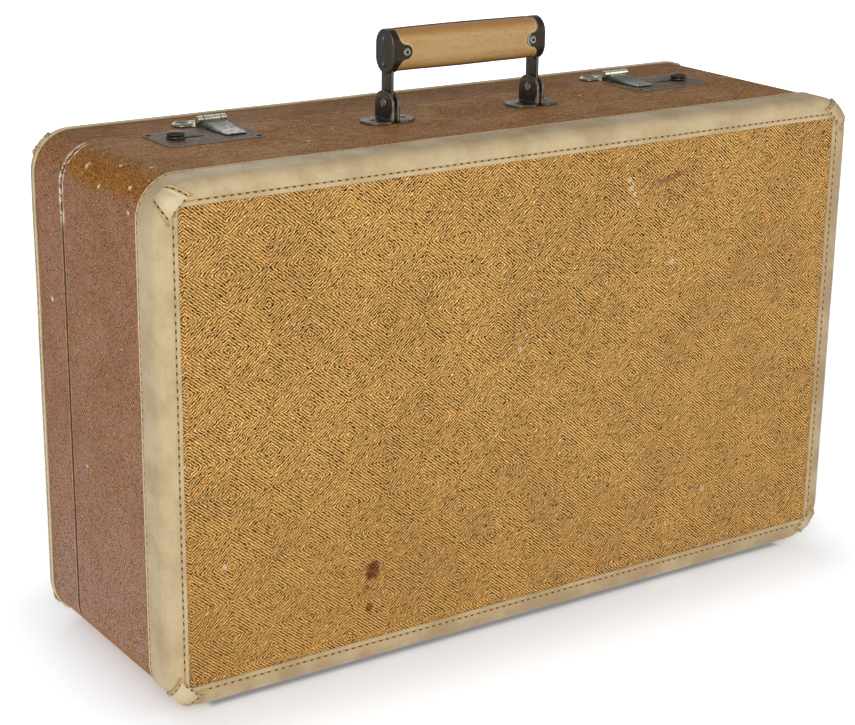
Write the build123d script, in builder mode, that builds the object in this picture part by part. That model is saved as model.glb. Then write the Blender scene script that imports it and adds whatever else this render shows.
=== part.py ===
from build123d import *
from math import asin, cos, sin
import os

# Upright suitcase with two rigid halves, hinged along the bottom, latched and carried at the top.
# Millimetres. X runs along the case, +Y points from the deep base to the shallow lid, +Z is up.
# The origin is on the ground, under the centre of the closed case.

# Case
LENGTH = 610.0
HEIGHT = 374.0
DEPTH = 200.0
FOOT_HEIGHT = 5.0
CORNER_RADIUS = 30.0
EDGE_RADIUS = 8.0
SPLIT_Y = 45.0
SPLIT_GAP = 1.0

# Layers of a wall, from the outside in; the glue film keeps the layers apart
GLUE = 0.05
BINDING_THICKNESS = 1.2
COVER_THICKNESS = 0.8
WALL_THICKNESS = 7.0
PANEL_THICKNESS = 3.0
LINING_THICKNESS = 0.7
PATCH_THICKNESS = 0.9

COVER_INSET = BINDING_THICKNESS
FRAME_INSET = BINDING_THICKNESS + COVER_THICKNESS
WALL_INSET = FRAME_INSET + WALL_THICKNESS
LINING_INSET = WALL_INSET + LINING_THICKNESS + GLUE

BINDING_ON_FACE = 17.1
BINDING_ON_SIDE = {"base": 27.8, "lid": 11.0}
BINDING_WINDOW_RADIUS = 3.0
PATCH_OUTLINE = [(-3, 20), (5, 27), (10, 22), (22, 10), (27, 5), (20, -3), (-3, -3)]
PATCH_DEPTH = 11.0

# Tongue inside the base that keys into the lid
RAIL_START_Y = 25.0
RAIL_REACH = 8.0
RAIL_THICKNESS = 4.0
RAIL_CLEARANCE = 1.0

# Feet
FOOT_RADIUS = 7.0
FOOT_X = 255.0
BASE_FEET_Y = (-60.0, 22.0)
LID_FEET_Y = (81.0,)

# Nails that fix hinges, latches and feet to the frame
NAIL_RADIUS = 1.1
NAIL_LENGTH = 6.5
NAIL_HEAD_RADIUS = 2.5
NAIL_HEAD_HEIGHT = 0.9
HOLE_CLEARANCE = 0.05

# Hinges
HINGE_X = 190.0
HINGE_WIDTH = 50.0
HINGE_LEAF_DEPTH = 16.0
HINGE_SHEET = 1.0
KNUCKLE_RADIUS = 2.2
KNUCKLES = 5
KNUCKLE_GAP = 0.2
HINGE_PIN_RADIUS = 1.0
HINGE_NAILS = (-17.0, 0.0, 17.0)

# Handle
LINK_X = 65.3
LINK_WIDTH = 14.0
LINK_THICKNESS = 2.0
LINK_TOP = 64.5
PIVOT_HEIGHT = 14.0
PIVOT_RADIUS = 2.2
EAR_GAP = 2.6
EAR_SHEET = 2.0
EAR_WIDTH = 24.0
EAR_HEIGHT = 22.5
EAR_ROUNDING = 10.0
FLANGE_LENGTH = 20.0
FLANGE_ROUNDING = 11.0
FLANGE_RIVET = 12.0
GRIP_HEIGHT = 51.5
CAP_SIZE = (23.4, 32.4)
CAP_SHEET = 1.0
CAP_BAND = 6.5
CAP_END = 68.4
TONGUE_RIVET = 12.0
TONGUE_RADIUS = 5.2
TONGUE_FLARE = 11.0
LEATHER = 2.0
LINK_RIVET_HEIGHTS = (42.0, 61.0)

# Latches; u is the distance from the middle of the case, the same on both sides
PLATE_U = (168.0, 244.0)
PLATE_Y = (-4.0, 42.0)
PLATE_SHEET = 1.0
PLATE_NAILS = [(240.0, 38.0), (172.5, 0.0), (172.5, 38.0)]
NOTCH_U = (182.4, 187.6)
NOTCH_START_Y = 15.0
POCKET_U = (172.0, 236.0)
POCKET_Y = (4.0, 32.0)
CASE_DEPTH = 7.0
CASE_SHEET = 0.8
KNOB_U = 228.0
KNOB_Y = 19.0
KNOB_RADIUS = 6.5
KNOB_HEIGHT = 5.0
STEM_RADIUS = 2.0
SLIDE_TRAVEL = 20.0
SLIDER_U = (209.0, 232.5)
SLIDER_Y = (5.4, 30.6)
SLIDER_WALL = 1.2
NOSE_U = 193.5
NOSE_Y = (20.2, 23.8)
NOSE_HEIGHTS = (-4.6, -2.6)

# Hasps
HASP_U = 185.0
HASP_AXIS_Y = 47.0
HASP_AXIS_HEIGHT = 6.0
HASP_BARREL_RADIUS = 2.7
HASP_PIN_RADIUS = 1.2
HASP_BARREL_WIDTH = 23.0
HASP_KNUCKLE_WIDTH = 13.6
HASP_SHEET = 1.0
HASP_TOP = [(47.0, 7.0), (43.0, 6.3), (37.0, 5.6), (30.0, 4.3), (19.0, 3.2), (8.0, 2.6)]
HASP_TIP_WIDTH = 17.0
HOOK_Y = (17.5, 26.5)
HOOK_BOTTOM = -5.9
HOOK_SHEET = 2.0
EYE_Y = (19.7, 24.3)
EYE_HEIGHTS = (-4.9, -2.3)
HASP_PLATE_X = (-25.0, 12.0)
HASP_PLATE_Y = (49.6, 70.0)
HASP_PLATE_NAILS = [(-20.5, 60.0), (-7.0, 65.5), (7.0, 65.5)]

CENTRE_Z = FOOT_HEIGHT + HEIGHT / 2
DECK_Z = FOOT_HEIGHT + HEIGHT - COVER_INSET
BELLY_Z = FOOT_HEIGHT + COVER_INSET
HINGE_AXIS_Z = BELLY_Z - GLUE - KNUCKLE_RADIUS - GLUE
SIDES = {"left": -1, "right": 1}


def face_plane(y):
    """Plane across the case at depth y, looking at it from the front."""
    return Plane(origin=(0, y, CENTRE_Z), x_dir=(1, 0, 0), z_dir=(0, -1, 0))


def deck_plane(height=0.0):
    """Level plane at a height above the top covering."""
    return Plane.XY.offset(DECK_Z + height)


def span_box(x, y, z):
    """Box between two x, two y and two z values, given in any order."""
    size = [abs(b - a) for a, b in (x, y, z)]
    centre = [(a + b) / 2 for a, b in (x, y, z)]
    return Pos(*centre) * Box(*size, mode=Mode.PRIVATE)


def outline_prism(inset, y_front, y_back, radius):
    """Prism with the outline of the case, moved in by inset."""
    with BuildPart() as prism:
        with BuildSketch(face_plane(y_back)):
            RectangleRounded(LENGTH - 2 * inset, HEIGHT - 2 * inset, radius)
        extrude(amount=y_back - y_front)
    return prism.part


def half_span(half, inset):
    """Front and back of the base or lid, with its outer face moved in by inset."""
    if half == "base":
        return -DEPTH / 2 + inset, SPLIT_Y - SPLIT_GAP / 2
    return SPLIT_Y + SPLIT_GAP / 2, DEPTH / 2 - inset


def half_block(half, inset):
    """Solid base or lid with its rounded rim, every outer face moved in by inset."""
    y_front, y_back = half_span(half, inset)
    with BuildPart() as block:
        add(outline_prism(inset, y_front, y_back, CORNER_RADIUS - inset))
        rim = block.faces().sort_by(Axis.Y)[0 if half == "base" else -1]
        fillet(rim.edges(), EDGE_RADIUS - inset)
    return block.part


def nail():
    """Nail with a domed head; the underside of the head is at the origin, the point below it."""
    dome_radius = (NAIL_HEAD_RADIUS ** 2 + NAIL_HEAD_HEIGHT ** 2) / (2 * NAIL_HEAD_HEIGHT)
    half_angle = asin(NAIL_HEAD_RADIUS / dome_radius) / 2
    on_dome = (dome_radius * sin(half_angle), NAIL_HEAD_HEIGHT - dome_radius * (1 - cos(half_angle)))
    with BuildPart() as pin:
        with BuildSketch(Plane.XZ):
            with BuildLine():
                Polyline((NAIL_HEAD_RADIUS, 0), (NAIL_RADIUS, 0), (NAIL_RADIUS, -NAIL_LENGTH + 1.5),
                         (0, -NAIL_LENGTH), (0, NAIL_HEAD_HEIGHT))
                ThreePointArc((0, NAIL_HEAD_HEIGHT), on_dome, (NAIL_HEAD_RADIUS, 0))
            make_face()
        revolve(axis=Axis.Z)
    return pin.part


def rods(points, radius, z_from, z_to):
    """Upright rods at the given points, to be cut out of a wall."""
    with BuildPart() as group:
        with BuildSketch(Plane.XY.offset(z_from)):
            with Locations(*points):
                Circle(radius)
        extrude(amount=z_to - z_from)
    return group.part


def plate_nail_points():
    return [(side * u, y) for side in SIDES.values() for u, y in PLATE_NAILS]


def hasp_nail_points():
    return [(side * HASP_U + dx, y) for side in SIDES.values() for dx, y in HASP_PLATE_NAILS]


def flange_rivet_points():
    reach = EAR_GAP / 2 + FLANGE_RIVET
    return [(side * LINK_X + step, 0) for side in SIDES.values() for step in (-reach, reach)]


def hinge_nail_points(half):
    y = SPLIT_Y + (HINGE_LEAF_DEPTH * 0.7) * (-1 if half == "base" else 1)
    return [(side * HINGE_X + dx, y) for side in SIDES.values() for dx in HINGE_NAILS]


def foot_points(half):
    rows = BASE_FEET_Y if half == "base" else LID_FEET_Y
    return [(side * FOOT_X, y) for side in SIDES.values() for y in rows]


def wall_openings(half):
    """Everything cut through the top and bottom walls of a half."""
    top_points = plate_nail_points() if half == "base" else hasp_nail_points()
    nail_hole = NAIL_RADIUS + HOLE_CLEARANCE
    with BuildPart() as openings:
        add(rods(top_points, nail_hole, DECK_Z - NAIL_LENGTH - 0.3, DECK_Z + 1))
        add(rods(hinge_nail_points(half) + foot_points(half), nail_hole,
                 BELLY_Z - 1, BELLY_Z + NAIL_LENGTH + 0.3))
        if half == "base":
            add(rods(flange_rivet_points(), nail_hole, DECK_Z - 12, DECK_Z + 1))
            for side in SIDES.values():
                pocket_u = [side * u for u in POCKET_U]
                notch_u = [side * u for u in NOTCH_U]
                heights = (DECK_Z - WALL_THICKNESS - COVER_THICKNESS - GLUE / 2, DECK_Z + 1)
                add(span_box(pocket_u, POCKET_Y, heights))
                add(span_box(notch_u, (POCKET_Y[1] - 1, SPLIT_Y), heights))
    return openings.part


def make_frame(half):
    y_front, y_back = half_span(half, FRAME_INSET)
    with BuildPart() as frame:
        add(half_block(half, FRAME_INSET))
        add(outline_prism(WALL_INSET, y_front - 1, y_back + 1, CORNER_RADIUS - WALL_INSET),
            mode=Mode.SUBTRACT)
        add(wall_openings(half), mode=Mode.SUBTRACT)
    return frame.part


def make_panel(half):
    y_front, y_back = half_span(half, FRAME_INSET)
    if half == "base":
        y_back = y_front + PANEL_THICKNESS
    else:
        y_front = y_back - PANEL_THICKNESS
    return outline_prism(WALL_INSET + GLUE, y_front, y_back, CORNER_RADIUS - WALL_INSET - GLUE)


def make_side_cover(half):
    y_front, y_back = half_span(half, 0)
    with BuildPart() as cover:
        add(half_block(half, COVER_INSET))
        add(half_block(half, FRAME_INSET - GLUE), mode=Mode.SUBTRACT)
        add(outline_prism(EDGE_RADIUS, y_front, y_back, CORNER_RADIUS - EDGE_RADIUS), mode=Mode.SUBTRACT)
        add(wall_openings(half), mode=Mode.SUBTRACT)
    return cover.part


def make_face_cover(half):
    outer = half_span(half, COVER_INSET)
    inner = half_span(half, FRAME_INSET - GLUE)
    y_front, y_back = (outer[0], inner[0]) if half == "base" else (inner[1], outer[1])
    inset = EDGE_RADIUS + GLUE
    return outline_prism(inset, y_front, y_back, CORNER_RADIUS - inset)


def make_binding(half):
    y_front, y_back = half_span(half, 0)
    width = BINDING_ON_SIDE[half]
    beyond = (y_front + width, y_back + 1) if half == "base" else (y_front - 1, y_back - width)
    with BuildPart() as binding:
        add(half_block(half, 0))
        add(half_block(half, BINDING_THICKNESS - GLUE), mode=Mode.SUBTRACT)
        add(outline_prism(BINDING_ON_FACE, y_front - 1, y_back + 1, BINDING_WINDOW_RADIUS),
            mode=Mode.SUBTRACT)
        add(outline_prism(-1, *beyond, CORNER_RADIUS), mode=Mode.SUBTRACT)
    return binding.part


def make_corner_patches(half):
    y_front, y_back = half_span(half, -PATCH_THICKNESS)
    corner = (LENGTH / 2, HEIGHT / 2)
    outline = [(corner[0] - a, corner[1] - b) for a, b in PATCH_OUTLINE]
    with BuildPart() as patches:
        add(half_block(half, -PATCH_THICKNESS))
        add(half_block(half, -GLUE), mode=Mode.SUBTRACT)
        with BuildSketch(face_plane(y_front + PATCH_DEPTH if half == "base" else y_back)):
            with BuildLine():
                Polyline(*outline, close=True)
            make_face()
            mirror(about=Plane.YZ)
            mirror(about=Plane.XZ)
        extrude(amount=PATCH_DEPTH, mode=Mode.INTERSECT)
    return patches.part


def make_lining(half):
    """Paper lining of the walls and panel, a tray open towards the split."""
    depth = FRAME_INSET + PANEL_THICKNESS + GLUE
    y_front, y_back = half_span(half, depth)
    if half == "base":
        y_back = RAIL_START_Y - GLUE
        hollow = (y_front + LINING_THICKNESS, y_back + 1)
    else:
        hollow = (y_front - 1, y_back - LINING_THICKNESS)
    with BuildPart() as lining:
        inset = WALL_INSET + GLUE
        add(outline_prism(inset, y_front, y_back, CORNER_RADIUS - inset))
        add(outline_prism(LINING_INSET, *hollow, CORNER_RADIUS - LINING_INSET), mode=Mode.SUBTRACT)
        if half == "base":
            add(rods(flange_rivet_points(), NAIL_RADIUS + HOLE_CLEARANCE, DECK_Z - 12, DECK_Z),
                mode=Mode.SUBTRACT)
    return lining.part


def make_tongue_rail():
    split = SPLIT_Y - SPLIT_GAP / 2
    inner = WALL_INSET + RAIL_THICKNESS
    lip = LINING_INSET + RAIL_CLEARANCE
    with BuildPart() as rail:
        inset = WALL_INSET + GLUE
        add(outline_prism(inset, RAIL_START_Y, split, CORNER_RADIUS - inset))
        add(outline_prism(lip, split, split + RAIL_REACH, CORNER_RADIUS - lip))
        add(outline_prism(inner, RAIL_START_Y - 1, split + RAIL_REACH + 1, CORNER_RADIUS - inner),
            mode=Mode.SUBTRACT)
    return rail.part


def make_feet(half):
    """Pressed dome feet, each held by its own nail."""
    height = BELLY_Z - GLUE
    with BuildPart() as feet:
        with BuildSketch(Plane.XZ) as profile:
            with BuildLine():
                Polyline((0, 0), (FOOT_RADIUS - 1.6, 0), (FOOT_RADIUS, 3.0), (FOOT_RADIUS, height),
                         (NAIL_RADIUS, height), (NAIL_RADIUS, height + NAIL_LENGTH - 1.5),
                         (0, height + NAIL_LENGTH), close=True)
            make_face()
        revolve(axis=Axis.Z)
    foot = feet.part
    with BuildPart() as group:
        with Locations(*[(x, y, 0) for x, y in foot_points(half)]):
            add(foot)
    return group.part


def nails_at(points, z, upward):
    """Nails with the underside of the head at z; upward ones are driven up from below."""
    placed = Rot(180, 0, 0) * nail() if upward else nail()
    with BuildPart() as group:
        with Locations(*[(x, y, z) for x, y in points]):
            add(placed)
    return group.part


def make_hinge_leaf(half, side):
    """Leaf on the bottom of the case with its share of the knuckles."""
    direction = -1 if half == "base" else 1
    centre = side * HINGE_X
    pitch = HINGE_WIDTH / KNUCKLES
    top = BELLY_Z - GLUE
    leaf_y = [SPLIT_Y + direction * (KNUCKLE_RADIUS + 0.3), SPLIT_Y + direction * HINGE_LEAF_DEPTH]
    own = range(0 if half == "base" else 1, KNUCKLES, 2)
    starts = [centre - HINGE_WIDTH / 2 + i * pitch + KNUCKLE_GAP / 2 for i in own]
    points = [p for p in hinge_nail_points(half) if p[0] * side > 0]
    with BuildPart() as leaf:
        add(span_box((centre - HINGE_WIDTH / 2, centre + HINGE_WIDTH / 2), leaf_y, (top - HINGE_SHEET, top)))
        far_edges = leaf.edges().filter_by(Axis.Z).group_by(Axis.Y)[0 if half == "base" else -1]
        fillet(far_edges, 3)
        for start in starts:
            stop = start + pitch - KNUCKLE_GAP
            add(span_box((start, stop), (SPLIT_Y, leaf_y[0]), (top - HINGE_SHEET, top)))
            with BuildSketch(Plane.YZ.offset(start)):
                with Locations((SPLIT_Y, HINGE_AXIS_Z)):
                    Circle(KNUCKLE_RADIUS)
            extrude(amount=stop - start)
        with BuildSketch(Plane.YZ.offset(centre - HINGE_WIDTH)):
            with Locations((SPLIT_Y, HINGE_AXIS_Z)):
                Circle(HINGE_PIN_RADIUS + HOLE_CLEARANCE)
        extrude(amount=2 * HINGE_WIDTH, mode=Mode.SUBTRACT)
        add(rods(points, NAIL_RADIUS + HOLE_CLEARANCE, 0, BELLY_Z), mode=Mode.SUBTRACT)
    return leaf.part


def make_hinge_pins():
    with BuildPart() as pins:
        for side in SIDES.values():
            with BuildSketch(Plane.YZ.offset(side * HINGE_X - HINGE_WIDTH / 2)):
                with Locations((SPLIT_Y, HINGE_AXIS_Z)):
                    Circle(HINGE_PIN_RADIUS)
            extrude(amount=HINGE_WIDTH)
    return pins.part


def make_ear(side, direction):
    """One L-shaped ear of a handle bracket; its flange points along direction."""
    face_x = side * LINK_X + direction * EAR_GAP / 2
    with BuildPart() as ear:
        with BuildSketch(Plane.YZ.offset(face_x)) as upright:
            with Locations((0, DECK_Z + EAR_HEIGHT / 2)):
                Rectangle(EAR_WIDTH, EAR_HEIGHT)
            fillet(upright.vertices().group_by(Axis.Z)[-1], EAR_ROUNDING)
            with Locations((0, DECK_Z + PIVOT_HEIGHT)):
                Circle(PIVOT_RADIUS + HOLE_CLEARANCE, mode=Mode.SUBTRACT)
        extrude(amount=direction * EAR_SHEET)
        with BuildSketch(deck_plane(GLUE)) as flange:
            with Locations((face_x + direction * FLANGE_LENGTH / 2, 0)):
                Rectangle(FLANGE_LENGTH, EAR_WIDTH)
            fillet(flange.vertices().group_by(Axis.X)[0 if direction < 0 else -1], FLANGE_ROUNDING)
            with Locations((face_x + direction * FLANGE_RIVET, 0)):
                Circle(NAIL_RADIUS + HOLE_CLEARANCE, mode=Mode.SUBTRACT)
        extrude(amount=EAR_SHEET - GLUE)
    return ear.part


def make_pivot_pins():
    """Riveted pins through the ears; the handle links turn on them."""
    half_length = EAR_GAP / 2 + EAR_SHEET
    with BuildPart() as pins:
        for side in SIDES.values():
            with BuildSketch(Plane.YZ.offset(side * LINK_X - half_length)):
                with Locations((0, DECK_Z + PIVOT_HEIGHT)):
                    Circle(PIVOT_RADIUS)
            extrude(amount=2 * half_length)
            for end in (-1, 1):
                with BuildSketch(Plane.YZ.offset(side * LINK_X + end * half_length)):
                    with Locations((0, DECK_Z + PIVOT_HEIGHT)):
                        Circle(PIVOT_RADIUS + 1.3)
                extrude(amount=end * 1.0, taper=20)
    return pins.part


def make_bracket_rivets():
    """Rivets through flange, covering, wall and lining, clinched inside the case."""
    inside = COVER_THICKNESS + WALL_THICKNESS + LINING_THICKNESS + 2 * GLUE
    with BuildPart() as rivets:
        add(nails_at(flange_rivet_points(), DECK_Z + EAR_SHEET, upward=False))
        add(rods(flange_rivet_points(), NAIL_RADIUS, DECK_Z - inside, DECK_Z))
        add(rods(flange_rivet_points(), 2.2, DECK_Z - inside - 0.8, DECK_Z - inside))
    return rivets.part


def grip_bar(shrink, half_length):
    """Bar along X with the long-hole section of the grip, moved in by shrink."""
    width, height = (size - 2 * shrink for size in CAP_SIZE)
    middle = Plane(origin=(0, 0, DECK_Z + GRIP_HEIGHT), x_dir=(0, 1, 0), z_dir=(1, 0, 0))
    with BuildPart() as bar:
        with BuildSketch(middle):
            SlotOverall(height, width, rotation=90)
        extrude(amount=half_length, both=True)
    return bar.part


def cross_rods(radius):
    """Rods through the grip from front to back, at the tongue rivets."""
    with BuildPart() as group:
        with BuildSketch(Plane.XZ):
            rivet_x = CAP_END - TONGUE_RIVET
            with Locations(*[(side * rivet_x, DECK_Z + GRIP_HEIGHT) for side in SIDES.values()]):
                Circle(radius)
        extrude(amount=CAP_SIZE[0], both=True)
    return group.part


def end_rods(radius, x_from, x_to):
    """Rods along X at the rivets that hold both links to the grip ends."""
    with BuildPart() as group:
        for side in SIDES.values():
            with BuildSketch(Plane.YZ.offset(side * x_from)):
                with Locations(*[(0, DECK_Z + height) for height in LINK_RIVET_HEIGHTS]):
                    Circle(radius)
            extrude(amount=side * (x_to - x_from))
    return group.part


def make_core():
    with BuildPart() as core:
        add(grip_bar(CAP_SHEET + GLUE + LEATHER + GLUE, LINK_X - LINK_THICKNESS / 2 - GLUE))
        add(cross_rods(2.45), mode=Mode.SUBTRACT)
        add(end_rods(NAIL_RADIUS + HOLE_CLEARANCE, LINK_X - 8, CAP_END), mode=Mode.SUBTRACT)
    return core.part


def make_grip():
    half_length = LINK_X - LINK_THICKNESS / 2 - GLUE
    with BuildPart() as grip:
        add(grip_bar(CAP_SHEET + GLUE, half_length))
        add(grip_bar(CAP_SHEET + GLUE + LEATHER, half_length + 1), mode=Mode.SUBTRACT)
        add(cross_rods(2.45), mode=Mode.SUBTRACT)
    return grip.part


def make_link(side):
    centre_x = side * LINK_X
    bottom = PIVOT_HEIGHT - LINK_WIDTH / 2
    with BuildPart() as link:
        with BuildSketch(Plane.YZ.offset(centre_x - LINK_THICKNESS / 2)):
            with Locations((0, DECK_Z + (bottom + LINK_TOP) / 2)):
                SlotOverall(LINK_TOP - bottom, LINK_WIDTH, rotation=90)
            with Locations((0, DECK_Z + PIVOT_HEIGHT)):
                Circle(PIVOT_RADIUS + HOLE_CLEARANCE, mode=Mode.SUBTRACT)
        extrude(amount=LINK_THICKNESS)
        add(end_rods(NAIL_RADIUS + HOLE_CLEARANCE, LINK_X - 8, CAP_END), mode=Mode.SUBTRACT)
    return link.part


def make_end_cap(side):
    """Pressed cup over the end of the grip, with a riveted tongue on the front and back."""
    inside_end = CAP_END - CAP_SHEET
    rivet_x = CAP_END - TONGUE_RIVET
    band_x = CAP_END - CAP_BAND
    half_height = CAP_SIZE[1] / 2 + 1
    with BuildPart() as cap:
        add(grip_bar(0, CAP_END))
        add(grip_bar(CAP_SHEET, inside_end), mode=Mode.SUBTRACT)
        with BuildSketch(Plane.XZ):
            with Locations((side * (band_x + 5), DECK_Z + GRIP_HEIGHT)):
                Rectangle(10, 2 * half_height)
            with Locations((side * rivet_x, DECK_Z + GRIP_HEIGHT)):
                Circle(TONGUE_RADIUS)
            with BuildLine():
                Polyline((side * band_x, DECK_Z + GRIP_HEIGHT + TONGUE_FLARE),
                         (side * rivet_x, DECK_Z + GRIP_HEIGHT + TONGUE_RADIUS),
                         (side * rivet_x, DECK_Z + GRIP_HEIGHT - TONGUE_RADIUS),
                         (side * band_x, DECK_Z + GRIP_HEIGHT - TONGUE_FLARE), close=True)
            make_face()
        extrude(amount=CAP_SIZE[0], both=True, mode=Mode.INTERSECT)
        slot_x = [side * (LINK_X + step * (LINK_THICKNESS / 2 + 0.1)) for step in (-1, 1)]
        add(span_box(slot_x, (-LINK_WIDTH / 2 - 0.2, LINK_WIDTH / 2 + 0.2), (DECK_Z + 30, DECK_Z + 45)),
            mode=Mode.SUBTRACT)
        add(cross_rods(2.45), mode=Mode.SUBTRACT)
        add(end_rods(NAIL_RADIUS + HOLE_CLEARANCE, LINK_X - 8, CAP_END + 1), mode=Mode.SUBTRACT)
    return cap.part


def make_link_rivets():
    """Domed rivets through the end caps and links into the core."""
    with BuildPart() as rivets:
        for side in SIDES.values():
            with Locations(*[(side * CAP_END, 0, DECK_Z + height) for height in LINK_RIVET_HEIGHTS]):
                add(Rot(0, side * 90, 0) * nail())
    return rivets.part


def make_tongue_rivets():
    """Ring-headed rivets through tongue, leather and core."""
    head_y = CAP_SIZE[0] / 2
    points = [(side * (CAP_END - TONGUE_RIVET), DECK_Z + GRIP_HEIGHT) for side in SIDES.values()]
    with BuildPart() as rivets:
        shank_and_heads = [(-head_y, 2 * head_y, 2.4), (-head_y - 0.8, 0.8, 3.4), (head_y, 0.8, 3.4)]
        for face_y, length, radius in shank_and_heads:
            with BuildSketch(Plane.XZ.offset(-face_y - length)):
                with Locations(*points):
                    Circle(radius)
            extrude(amount=length)
        add(cross_rods(1.4), mode=Mode.SUBTRACT)
    return rivets.part


def make_latch_plate(side):
    u_size = PLATE_U[1] - PLATE_U[0]
    y_size = PLATE_Y[1] - PLATE_Y[0]
    slot_length = SLIDE_TRAVEL + 2 * (STEM_RADIUS + 0.3)
    with BuildPart() as plate:
        with BuildSketch(deck_plane(GLUE)) as outline:
            with Locations((side * sum(PLATE_U) / 2, sum(PLATE_Y) / 2)):
                Rectangle(u_size, y_size)
            chamfer(outline.vertices(), 2.5)
            with Locations((side * (KNOB_U - SLIDE_TRAVEL / 2), KNOB_Y)):
                SlotOverall(slot_length, 2 * (STEM_RADIUS + 0.3), mode=Mode.SUBTRACT)
            with Locations((side * sum(NOTCH_U) / 2, (NOTCH_START_Y + SPLIT_Y) / 2)):
                Rectangle(NOTCH_U[1] - NOTCH_U[0], SPLIT_Y - NOTCH_START_Y, mode=Mode.SUBTRACT)
            with Locations(*[(side * u, y) for u, y in PLATE_NAILS]):
                Circle(NAIL_RADIUS + HOLE_CLEARANCE, mode=Mode.SUBTRACT)
        extrude(amount=PLATE_SHEET - GLUE)
    return plate.part


def make_latch_case(side):
    """Pressed tray under the latch plate; the slide runs in it."""
    gap = 0.2
    outer_u = [side * (POCKET_U[0] + gap), side * (POCKET_U[1] - gap)]
    inner_u = [side * (POCKET_U[0] + gap + CASE_SHEET), side * (POCKET_U[1] - gap - CASE_SHEET)]
    outer_y = (POCKET_Y[0] + gap, POCKET_Y[1] - gap)
    inner_y = (outer_y[0] + CASE_SHEET, outer_y[1] - CASE_SHEET)
    inner_z = (DECK_Z - CASE_DEPTH + CASE_SHEET, DECK_Z + 1)
    notch_u = [side * u for u in NOTCH_U]
    with BuildPart() as case:
        add(span_box(outer_u, outer_y, (DECK_Z - CASE_DEPTH, DECK_Z)))
        add(span_box(inner_u, inner_y, inner_z), mode=Mode.SUBTRACT)
        add(span_box(notch_u, (POCKET_Y[1] - 3, POCKET_Y[1] + 1), inner_z), mode=Mode.SUBTRACT)
    return case.part


def make_latch_slide(side):
    """Thumb knob, stem and the hollow slider whose nose locks the hasp's eye."""
    body_heights = (DECK_Z - CASE_DEPTH + CASE_SHEET + 0.2, DECK_Z - 0.3)
    slider_u = [side * u for u in SLIDER_U]
    hollow_u = [side * (SLIDER_U[0] + SLIDER_WALL), side * (SLIDER_U[1] - SLIDER_WALL)]
    hollow_y = (SLIDER_Y[0] + SLIDER_WALL, SLIDER_Y[1] - SLIDER_WALL)
    with BuildPart() as slide:
        add(span_box(slider_u, SLIDER_Y, body_heights))
        add(span_box(hollow_u, hollow_y, (body_heights[0] - 1, body_heights[1] - SLIDER_WALL)),
            mode=Mode.SUBTRACT)
        add(span_box((side * NOSE_U, side * (SLIDER_U[0] + 0.5)), NOSE_Y,
                     [DECK_Z + height for height in NOSE_HEIGHTS]))
        with BuildSketch(Plane.XY.offset(body_heights[1])):
            with Locations((side * KNOB_U, KNOB_Y)):
                Circle(STEM_RADIUS)
        extrude(amount=PLATE_SHEET + 1)
        with BuildSketch(deck_plane(PLATE_SHEET + 0.3)):
            with Locations((side * KNOB_U, KNOB_Y)):
                Circle(KNOB_RADIUS)
        extrude(amount=KNOB_HEIGHT)
        fillet(slide.faces().sort_by(Axis.Z)[-1].edges(), 1.8)
    return slide.part


def make_hasp_plate(side):
    """Plate on the lid with the two outer knuckles of the hasp's barrel."""
    centre = side * HASP_U
    knuckle = (HASP_BARREL_WIDTH - HASP_KNUCKLE_WIDTH) / 2 - KNUCKLE_GAP
    starts = (centre - HASP_BARREL_WIDTH / 2, centre + HASP_BARREL_WIDTH / 2 - knuckle)
    axis_z = DECK_Z + HASP_AXIS_HEIGHT
    with BuildPart() as plate:
        with BuildSketch(deck_plane(GLUE)):
            with Locations((centre + sum(HASP_PLATE_X) / 2, sum(HASP_PLATE_Y) / 2)):
                RectangleRounded(HASP_PLATE_X[1] - HASP_PLATE_X[0], HASP_PLATE_Y[1] - HASP_PLATE_Y[0], 5)
            with Locations(*[(centre + dx, y) for dx, y in HASP_PLATE_NAILS]):
                Circle(NAIL_RADIUS + HOLE_CLEARANCE, mode=Mode.SUBTRACT)
        extrude(amount=HASP_SHEET - GLUE)
        for start in starts:
            web_y = (HASP_AXIS_Y, HASP_PLATE_Y[0] + 0.5)
            add(span_box((start, start + knuckle), web_y, (DECK_Z + GLUE, axis_z)))
            with BuildSketch(Plane.YZ.offset(start)):
                with Locations((HASP_AXIS_Y, axis_z)):
                    Circle(HASP_BARREL_RADIUS)
            extrude(amount=knuckle)
        with BuildSketch(Plane.YZ.offset(centre - HASP_BARREL_WIDTH)):
            with Locations((HASP_AXIS_Y, axis_z)):
                Circle(HASP_PIN_RADIUS)
        extrude(amount=2 * HASP_BARREL_WIDTH, mode=Mode.SUBTRACT)
    return plate.part


def make_hasp_pins():
    with BuildPart() as pins:
        for side in SIDES.values():
            with BuildSketch(Plane.YZ.offset(side * HASP_U - HASP_BARREL_WIDTH / 2)):
                with Locations((HASP_AXIS_Y, DECK_Z + HASP_AXIS_HEIGHT)):
                    Circle(HASP_PIN_RADIUS - HOLE_CLEARANCE)
            extrude(amount=HASP_BARREL_WIDTH)
    return pins.part


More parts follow.
